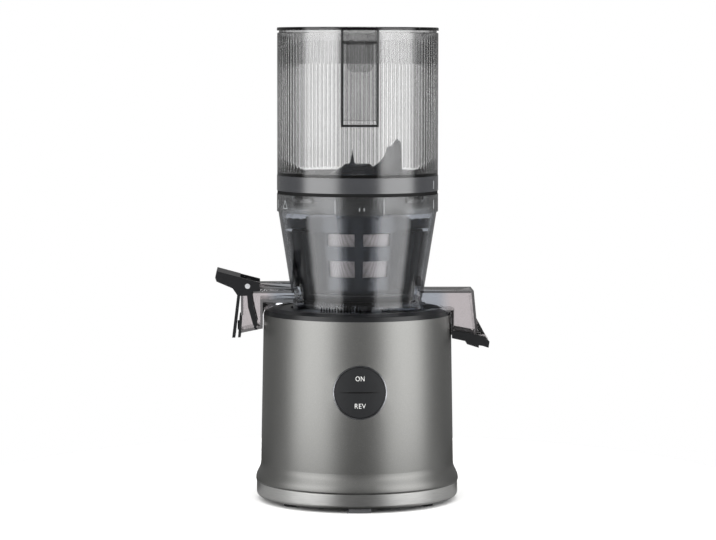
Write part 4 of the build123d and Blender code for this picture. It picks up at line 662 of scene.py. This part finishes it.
class JUICER_OT_basket(Operator):
    """Finishes the strainer, the brush, the screw and the cutting wing inside the drum"""

    bl_idname = "juicer.basket"
    bl_label = "Strainer, brush and screw"

    def execute(self, context):
        colours = context.scene.juicer_colours
        # Polyetherimide, a hard heat-proof plastic: deep blue-grey with a wet-looking gloss.
        basket = moulded("blue-grey polyetherimide", colours.basket, 0.2, 0.8, 0.006, coat=0.5, level=0.8)
        dress(basket, "strainer", "auger")
        # The same plastic with a finer polish and no second gloss over it.
        wing = moulded("polished polyetherimide", colours.basket, 0.12, 0.8, 0.003)
        dress(wing, "cutting_wing")
        # Glass-filled nylon: near black, satin.
        nylon = moulded("glass-filled black nylon", linear("0c0d0f"), 0.4, 0.5, 0.02, level=0.3)
        dress(nylon, "brush_frame", "idler_gear")
        # Platinum-cured silicone: soft black lips.
        dress(moulded("soft black silicone", linear("17181b"), 0.5, 0.3, 0.02), "wiper_blades")
        # Etched stainless sheet: light, with a painted warm reflection in its colour, and with holes of 0.3
        # mm drawn at 1.1 mm.
        material, tree, shader = new_material("etched stainless sheet", Metallic=0.55)
        sheet = [(0.18, linear("6d6664")), (0.42, linear("d2c8c3"))]
        skin(tree, shader, 1.1, tones=sheet, rough=(0.55, 0.35), relief=0.1, cells=0.15)
        dress(material, "strainer_mesh")
        # Pressed stainless steel: grey-white, lightly marked by the tool.
        dress(bare_metal("pressed stainless steel", "a6a8ab", "d2d4d6", 0.25), "auger_hub_insert")
        return {"FINISHED"}


class JUICER_OT_levers(Operator):
    """Finishes the juice cap and the residue flap"""

    bl_idname = "juicer.levers"
    bl_label = "Juice cap and residue flap"

    def execute(self, context):
        colours = context.scene.juicer_colours
        # Satin black ABS: near black with a soft sheen along its edges.
        lever = moulded("satin black ABS", colours.lever, 0.34, 0.4, 0.015, coat=0.15)
        dress(lever, "juice_cap_lever", "residue_lever")
        # Acetal pins: smooth and slightly waxy, one pale and one grey.
        dress(moulded("moulded light grey acetal", linear("9b9c9e"), 0.35, 0.3, 0.01), "juice_cap_pin")
        dress(moulded("moulded grey acetal", linear("55565a"), 0.35, 0.3, 0.01), "residue_lever_pin")
        # Silicone pads: dull dark lips that close the spouts.
        seal = moulded("moulded dark silicone pad", linear("1d1e20"), 0.6, 0.3, 0.02)
        dress(seal, "juice_cap_seal", "residue_seal")
        return {"FINISHED"}


class JUICER_OT_hopper(Operator):
    """Builds the fluted hopper with its lugs and finishes the collar and the joint ring below it"""

    bl_idname = "juicer.hopper"
    bl_label = "Hopper"

    def execute(self, context):
        colours, sizes = context.scene.juicer_colours, context.scene.juicer_sizes
        # Clear copolyester, a denser smoke than the drum: the flutes inside bend what stands behind it.
        wall = smoked("smoked clear copolyester, hopper", colours.smoke, 62.0, 0.02)
        piece = self.blank(sizes)
        values = {"Count": sizes.flute_count, "Depth": sizes.flute_depth, "Material": wall}
        grown(piece, self.flute_tree(), values)
        smoothed(piece.data, 38)
        merged(piece.data)
        finish_piece(piece, "hopper_unit")
        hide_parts("hopper")
        lug = bent_strip(LUG_TURN * LUG_OUTER, LUG_LOW, LUG_HIGH, SPIGOT_OUTER, LUG_OUTER, angle=0.0)
        lugs = new_object("hopper_lugs", *lug)
        grown(lugs, self.lug_tree(), {"Count": LUG_COUNT, "First": LUG_FIRST, "Material": wall})
        finish_piece(lugs, "hopper_unit")
        # The collar is the same plastic, smoked so densely that it looks solid, and polished.
        gloss = {"coat": 0.5, "contrast": 0.05, "level": 1.0}
        collar = moulded("dense smoked copolyester", linear("2b2c2f"), 0.25, 0.8, 0.004, **gloss)
        dress(collar, "hopper_collar")
        # Silicone ring: a soft black line between collar and drum.
        ring = moulded("moulded black silicone ring", linear("0a0a0b"), 0.6, 0.3, 0.02, level=0.2)
        dress(ring, "hopper_gasket")
        return {"FINISHED"}

    def blank(self, sizes):
        """The hopper as a turned wall, whose points say how much of a flute they carry."""
        low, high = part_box("hopper")
        collar_low, collar_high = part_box("hopper_collar")
        outer, inner = high.x, high.x - HOPPER_WALL
        collar_inner = collar_high.x - COLLAR_WALL - COLLAR_GAP
        lip, ramp = 0.6 * MM, 1.5 * MM
        points_per_flute, near_wall = 8, 0.1 * MM

        def under(radius):
            return FUNNEL_START - FUNNEL_SLOPE * (inner - radius) - HOPPER_WALL

        heights = [sizes.flute_high, sizes.flute_high - ramp, sizes.flute_low + ramp, sizes.flute_low]
        profile = [
            (outer, collar_high.z + COLLAR_GAP),
            (outer, high.z - lip),
            (outer - lip, high.z),
            (inner + lip, high.z),
            (inner, high.z - lip),
            *[(inner, height) for height in heights],
            (inner, FUNNEL_START),
            (THROAT_INNER, FUNNEL_START - FUNNEL_SLOPE * (inner - THROAT_INNER)),
            (THROAT_INNER, low.z),
            (THROAT_OUTER, low.z),
            (THROAT_OUTER, under(THROAT_OUTER)),
            (SPIGOT_INNER, under(SPIGOT_INNER)),
            (SPIGOT_INNER, SPIGOT_LOW),
            (SPIGOT_OUTER, SPIGOT_LOW),
            (SPIGOT_OUTER, collar_low.z),
            (collar_inner, collar_low.z),
            (collar_inner, collar_high.z + COLLAR_GAP),
        ]
        piece = new_object("fluted_hopper", *turned(profile, points_per_flute * sizes.flute_count))
        widths = (sizes.window_half, sizes.window_fade, sizes.seam_half)
        window, fade, seam = (width / inner for width in widths)
        shares = []
        for vertex in piece.data.vertices:
            x, y, z = vertex.co
            angle = atan2(y, x)
            on_wall = abs(hypot(x, y) - inner) < near_wall and heights[-1] < z < heights[0]
            beside = TURN / 2 - abs(TURN / 2 - abs(angle - FRONT))
            share = min(1.0, max(0.0, (beside - window) / fade)) if abs(angle - BACK) > seam else 0.0
            shares.append(share if on_wall else 0.0)
        piece.data.attributes.new("fluted", "FLOAT", "POINT").data.foreach_set("value", shares)
        return piece

    def flute_tree(self):
        """Cuts a flute outwards at every point that carries one."""
        tree, given = new_tree("Flutes", [("Count", "Int"), ("Depth", "Float")])
        at = add(tree, "GeometryNodeInputPosition")
        level = add(tree, "ShaderNodeVectorMath", {0: at, 1: (1, 1, 0)}, operation="MULTIPLY")
        parts = add(tree, "ShaderNodeSeparateXYZ", {0: level}).outputs
        angle = add(tree, "ShaderNodeMath", {0: parts[1], 1: parts[0]}, operation="ARCTAN2")
        half = add(tree, "ShaderNodeMath", {0: given["Count"], 1: 0.5}, operation="MULTIPLY")
        turns = add(tree, "ShaderNodeMath", {0: angle, 1: half}, operation="MULTIPLY")
        wave = add(tree, "ShaderNodeMath", {0: turns}, operation="SINE")
        wave = add(tree, "ShaderNodeMath", {0: wave}, operation="ABSOLUTE")
        share = add(tree, "GeometryNodeInputNamedAttribute", {"Name": "fluted"}, data_type="FLOAT")
        deep = add(tree, "ShaderNodeMath", {0: share, 1: given["Depth"]}, operation="MULTIPLY")
        cut = add(tree, "ShaderNodeMath", {0: wave, 1: deep}, operation="MULTIPLY")
        outward = add(tree, "ShaderNodeVectorMath", {0: level}, operation="NORMALIZE")
        offset = add(tree, "ShaderNodeVectorMath", {0: outward, "Scale": cut}, operation="SCALE")
        moved = add(tree, "GeometryNodeSetPosition", {"Geometry": given["Geometry"], "Offset": offset})
        close_tree(tree, moved, given["Material"])
        return tree

    def lug_tree(self):
        """Copies one lug round the drive axis."""
        tree, given = new_tree("Lugs", [("Count", "Int"), ("First", "Float")])
        points = add(tree, "GeometryNodePoints", {"Count": given["Count"]})
        step = add(tree, "ShaderNodeMath", {0: TURN, 1: given["Count"]}, operation="DIVIDE")
        index = add(tree, "GeometryNodeInputIndex")
        turn = add(tree, "ShaderNodeMath", {0: index, 1: step, 2: given["First"]}, operation="MULTIPLY_ADD")
        turned_by = add(tree, "ShaderNodeCombineXYZ", {2: turn})
        inputs = {"Points": points, "Instance": given["Geometry"], "Rotation": turned_by}
        close_tree(tree, add(tree, "GeometryNodeInstanceOnPoints", inputs), given["Material"])
        return tree


class JUICER_OT_lid(Operator):
    """Finishes the lid, the feed chute and the flap in it"""

    bl_idname = "juicer.lid"
    bl_label = "Lid and feed chute"

    def execute(self, context):
        colours = context.scene.juicer_colours
        # Clear copolyester, a denser smoke than the hopper, darker over the lid's top plate.
        lid = smoked("smoked clear copolyester, lid", colours.smoke, 80.0, 0.02)
        plate = 2.8 * MM
        darker_plate = above(lid.node_tree, "Z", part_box("lid")[1].z - plate)
        change_where(lid.node_tree, darker_plate, linear("5d5e60"))
        dress(lid, "lid")
        # The chute is clear; the end faces of its walls, which face the front and the back, are painted
        # nearly black, a painted shade for how dark clear walls look end on.
        chute = smoked("smoked clear copolyester, chute", colours.smoke, 4.0, 0.02, level=0.25)
        tree = chute.node_tree
        low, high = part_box("feed_chute")
        wall, soft, square_on = 2.3 * MM, 0.1 * MM, 0.5
        sides = above(tree, "X", high.x - wall, soft, size=True)
        higher = above(tree, "Z", low.z + wall, soft)
        foot = add(tree, "ShaderNodeMath", {0: 1.0, 1: higher}, operation="SUBTRACT")
        ends = add(tree, "ShaderNodeMath", {0: sides, 1: foot}, operation="MAXIMUM")
        normal = add(tree, "ShaderNodeNewGeometry").outputs["Normal"]
        facing = add(tree, "ShaderNodeSeparateXYZ", {0: normal}).outputs["Y"]
        facing = add(tree, "ShaderNodeMath", {0: facing}, operation="ABSOLUTE")
        front = add(tree, "ShaderNodeMath", {0: facing, 1: square_on}, operation="GREATER_THAN")
        mask = add(tree, "ShaderNodeMath", {0: ends, 1: front}, operation="MULTIPLY")
        # Painted shade: the walls' end faces that face the front or the back are darkened.
        change_where(tree, mask, linear("3a3a3d"))
        dress(chute, "feed_chute")
        dress(smoked("smoked clear copolyester, flap", colours.smoke, 120.0, 0.02), "chute_flap")
        # Acetal pin: black and waxy.
        dress(moulded("moulded black acetal", linear("18191b"), 0.35, 0.3, 0.01), "flap_pin")
        return {"FINISHED"}


class JUICER_OT_screws(Operator):
    """Builds the cross-recess screws that hold the bottom plate"""

    bl_idname = "juicer.screws"
    bl_label = "Case screws"

    head = 3.6 * MM
    plate = 1.8 * MM
    shank = 1.9 * MM

    def execute(self, context):
        low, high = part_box("case_screws")
        screw = self.screw(low.z, high.z)
        x, y = high.x - self.head, high.y - self.head
        piece = new_object("recessed_screws", [(x, y, 0), (-x, y, 0), (x, -y, 0), (-x, -y, 0)], [])
        # Zinc-plated steel: bright, cool and slightly cloudy.
        zinc = bare_metal("bright zinc-plated steel", "8f9295", "cfd2d4", 0.3, 0.5)
        grown(piece, self.screw_tree(), {"Screw": screw, "Seed": 4, "Material": zinc})
        bpy.data.objects.remove(screw)
        smoothed(piece.data)
        finish_piece(piece, "base")
        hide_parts("case_screws")
        return {"FINISHED"}

    def screw(self, low, high):
        """One screw, head down, with a tapered cross cut into its head."""
        seat = low + self.plate
        # Shares of the head's radius and thickness shape its dome.
        profile = [
            (0, low),
            (0.7 * self.head, low),
            (0.93 * self.head, low + 0.25 * self.plate),
            (self.head, low + 0.6 * self.plate),
            (self.head, seat),
            (self.shank, seat),
            (self.shank, high - self.shank),
            (0.2 * self.shank, high),
            (0, high),
        ]
        sides = 28
        screw = new_object("screw", *turned(profile, sides))
        merged(screw.data)
        # The cross narrows from its mouth to its bottom.
        arm, half = 0.55 * self.head, 0.1 * self.head
        mouth, bottom, depth = 1.1, 0.6, 0.75 * self.plate
        quarter = [(half, half), (half, arm), (-half, arm)]
        corners = list(quarter)
        for _ in range(3):
            quarter = [(-y, x) for x, y in quarter]
            corners += quarter
        points = [(mouth * x, mouth * y, low - self.plate) for x, y in corners]
        points += [(bottom * x, bottom * y, low + depth) for x, y in corners]
        count = len(corners)
        faces = [tuple(range(count))[::-1], tuple(range(count, 2 * count))]
        faces += [(n, (n + 1) % count, count + (n + 1) % count, count + n) for n in range(count)]
        cutter = new_object("recess", points, faces)
        merged(cutter.data)
        cut = screw.modifiers.new("recess", "BOOLEAN")
        cut.operation, cut.object, cut.solver = "DIFFERENCE", cutter, "EXACT"
        applied(screw)
        bpy.data.objects.remove(cutter)
        return screw

    def screw_tree(self):
        """Puts a screw on every point, each turned by chance as a driver leaves it."""
        tree, given = new_tree("Screws", [("Screw", "Object"), ("Seed", "Int")])
        shape = add(tree, "GeometryNodeObjectInfo", {"Object": given["Screw"]}).outputs["Geometry"]
        turn = add(tree, "FunctionNodeRandomValue", {3: TURN, "Seed": given["Seed"]}, data_type="FLOAT")
        turned_by = add(tree, "ShaderNodeCombineXYZ", {2: turn})
        points = add(tree, "GeometryNodeMeshToPoints", {0: given["Geometry"]})
        inputs = {"Points": points, "Instance": shape, "Rotation": turned_by}
        close_tree(tree, add(tree, "GeometryNodeInstanceOnPoints", inputs), given["Material"])
        return tree


# Stage
# -----


class JUICER_OT_stage(Operator):
    """Builds the pale floor, the soft lights and the camera"""

    bl_idname = "juicer.stage"
    bl_label = "Stage"

    def execute(self, context):
        scene = context.scene
        self.floor()
        self.sky(scene)
        self.softbox("left_softbox", turn=-55)
        self.softbox("right_softbox", turn=56)
        self.overhead()
        self.camera(scene)
        scene.view_settings.view_transform = "Standard"
        scene.view_settings.look = "None"
        scene.cycles.max_bounces = 24
        scene.cycles.transmission_bounces = 24
        scene.cycles.transparent_max_bounces = 16
        return {"FINISHED"}

    def mirrored(self, tree):
        """A mask that is one for rays mirrored by a polished or satin skin."""
        ray = add(tree, "ShaderNodeLightPath").outputs
        inputs = {0: ray["Is Glossy Ray"], 1: ray["Is Transmission Ray"]}
        return add(tree, "ShaderNodeMath", inputs, operation="SUBTRACT", use_clamp=True)

    def floor(self):
        """White paper, which polished things mirror as a dim floor with dark cards on it."""
        sides, radius = 96, 0.42
        points = [around(radius, TURN * side / sides, 0) for side in range(sides)]
        floor = new_object("floor", points, [tuple(range(sides))])
        # Matt white paper: bright, without gloss.
        material, tree, shader = new_material("matt white paper", Roughness=0.9, Specular_IOR_Level=0.1)
        skin(tree, shader, 400, tones=[(0.3, linear("f4f4f3")), (0.7, linear("f8f8f7"))])
        # One dark card widens to the front and a wider one to the back, by their slopes.
        front_slope, back_slope, soft = 0.55, 3.0, 0.03
        at = coordinates(tree)
        beside = add(tree, "ShaderNodeMath", {0: at["X"]}, operation="ABSOLUTE")
        front = add(tree, "ShaderNodeMath", {0: at["Y"], 1: -front_slope}, operation="MULTIPLY")
        behind = add(tree, "ShaderNodeMath", {0: at["Y"], 1: back_slope}, operation="MULTIPLY")
        edge = add(tree, "ShaderNodeMath", {0: front, 1: behind}, operation="MAXIMUM")
        inside = add(tree, "ShaderNodeMath", {0: edge, 1: beside}, operation="SUBTRACT")
        card = add(tree, "ShaderNodeMapRange", {0: inside, "From Min": -soft, "From Max": soft})
        mirrored = self.mirrored(tree)
        change_where(tree, mirrored, linear("848484"))
        dark = add(tree, "ShaderNodeMath", {0: mirrored, 1: card}, operation="MULTIPLY")
        change_where(tree, dark, linear("262626"))
        floor.data.materials.append(material)

    def sky(self, scene):
        """A room, white to the eye, dim in mirrors, and made of pale panels through clear walls."""
        world = bpy.data.worlds.new("studio")
        world.use_nodes = True
        scene.world = world
        tree = world.node_tree
        background = tree.nodes["Background"]
        background.inputs["Color"].default_value = linear("ffffff")
        # The panels stand every 45 degrees round the object, the whitest behind it, and the dark gaps
        # between them darken the slopes of the flutes.
        half_step, gap_start, gap_full = (radians(angle) for angle in (22.5, 8.6, 10.9))
        through = add(tree, "ShaderNodeLightPath").outputs["Is Transmission Ray"]
        heading = coordinates(tree)
        bearing = add(tree, "ShaderNodeMath", {0: heading["X"], 1: heading["Y"]}, operation="ARCTAN2")
        inputs = {0: bearing, 1: radians(CAMERA_TURN)}
        bearing = add(tree, "ShaderNodeMath", inputs, operation="SUBTRACT")
        aside = add(tree, "ShaderNodeMath", {0: bearing, 1: half_step}, operation="PINGPONG")
        # What each range reads, its two ends and its value at each: the light lost in the gaps, how low
        # the gaps reach, the light lost at the ceiling, and on all sides but the one behind.
        ranges = (
            (aside, gap_start, gap_full, 0, 0.78),
            (heading["Z"], -0.5, -0.35, 0, 1),
            (heading["Z"], 0.2, 0.35, 0, 0.85),
            (heading["Y"], 0.6, 0.85, 0.55, 0),
        )
        keys = (0, "From Min", "From Max", "To Min", "To Max")
        gap, level, ceiling, dimmer = (
            add(tree, "ShaderNodeMapRange", dict(zip(keys, values))) for values in ranges
        )
        gap = add(tree, "ShaderNodeMath", {0: gap, 1: level}, operation="MULTIPLY")
        off_panel = add(tree, "ShaderNodeMath", {0: gap, 1: ceiling}, operation="MAXIMUM")
        off_panel = add(tree, "ShaderNodeMath", {0: off_panel, 1: dimmer}, operation="MAXIMUM")
        lost = add(tree, "ShaderNodeMath", {0: through, 1: off_panel}, operation="MULTIPLY")
        mirror_loss = 0.8
        inputs = {0: self.mirrored(tree), 1: mirror_loss, 2: lost}
        lost = add(tree, "ShaderNodeMath", inputs, operation="MULTIPLY_ADD")
        left = add(tree, "ShaderNodeMath", {0: 1.0, 1: lost}, operation="SUBTRACT")
        tree.links.new(left.outputs[0], background.inputs["Strength"])

    def softbox(self, name, turn):
        """A tall light whose two sides fade out, turned about the object by degrees from the front."""
        distance, height, target_height = 1.5, 0.3, 0.22
        half, fade_start = 0.5, 0.25
        lamp = bpy.data.lights.new(name, "AREA")
        lamp.shape, lamp.size, lamp.size_y, lamp.energy = "RECTANGLE", 1.95, 2.0, 36.0
        lamp.use_nodes = True
        tree = lamp.node_tree
        where = add(tree, "ShaderNodeNewGeometry").outputs["Parametric"]
        across = add(tree, "ShaderNodeSeparateXYZ", {0: where}).outputs["X"]
        off = add(tree, "ShaderNodeMath", {0: across, 1: half}, operation="SUBTRACT")
        off = add(tree, "ShaderNodeMath", {0: off}, operation="ABSOLUTE")
        inputs = {0: off, "From Min": fade_start, "From Max": half, "To Min": 1.0, "To Max": 0.0}
        fade = add(tree, "ShaderNodeMapRange", inputs, interpolation_type="SMOOTHSTEP")
        tree.links.new(fade.outputs[0], tree.nodes["Emission"].inputs["Strength"])
        at = Vector(around(distance, FRONT + radians(turn), height))
        self.aim(name, lamp, at, Vector((0, 0, target_height)))

    def overhead(self):
        """A square light above the object, a little to the front."""
        height, forward, target_height = 1.9, 0.2, 0.2
        lamp = bpy.data.lights.new("top_softbox", "AREA")
        lamp.shape, lamp.size, lamp.energy = "SQUARE", 1.2, 18.0
        self.aim("top_softbox", lamp, Vector((0, -forward, height)), Vector((0, 0, target_height)))

    def aim(self, name, lamp, at, target):
        """Places a light that the camera can't see and points it at a target."""
        light = linked(name, lamp)
        light.location = at
        light.rotation_euler = (target - at).to_track_quat("-Z", "Y").to_euler()
        light.visible_camera = False

    def camera(self, scene):
        """The camera, near the height of the object's top and looking a little down."""
        lens = bpy.data.cameras.new("camera")
        lens.lens, lens.sensor_width, lens.clip_end = LENS_MM, SENSOR_MM, VIEW_END
        camera = linked("camera", lens)
        camera.location = around(CAMERA_DISTANCE, FRONT - radians(CAMERA_TURN), CAMERA_HEIGHT)
        angles = (90 - CAMERA_PITCH, -CAMERA_ROLL, -CAMERA_HEADING)
        camera.rotation_euler = [radians(angle) for angle in angles]
        scene.camera = camera


class JUICER_PT_panel(Panel):
    """Lists the steps that build the juicer's looks"""

    bl_idname = "JUICER_PT_panel"
    bl_label = "Cold press juicer"
    bl_space_type = "VIEW_3D"
    bl_region_type = "UI"
    bl_category = "Juicer"

    def draw(self, context):
        for group in (context.scene.juicer_colours, context.scene.juicer_sizes):
            box = self.layout.box()
            for key in group.__annotations__:
                box.prop(group, key)
        for step in STEPS:
            self.layout.operator(step.bl_idname)


STEPS = (
    JUICER_OT_base,
    JUICER_OT_switch,
    JUICER_OT_drive,
    JUICER_OT_drum,
    JUICER_OT_basket,
    JUICER_OT_levers,
    JUICER_OT_hopper,
    JUICER_OT_lid,
    JUICER_OT_screws,
    JUICER_OT_stage,
)
CLASSES = (JuicerColours, JuicerSizes, *STEPS, JUICER_PT_panel)


def register():
    for item in CLASSES:
        bpy.utils.register_class(item)
    bpy.types.Scene.juicer_colours = PointerProperty(type=JuicerColours)
    bpy.types.Scene.juicer_sizes = PointerProperty(type=JuicerSizes)


def unregister():
    del bpy.types.Scene.juicer_sizes
    del bpy.types.Scene.juicer_colours
    for item in reversed(CLASSES):
        bpy.utils.unregister_class(item)


def main():
    register()
    for step in STEPS:
        group, name = step.bl_idname.split(".")
        getattr(getattr(bpy.ops, group), name)()


if __name__ == "__main__":
    main()
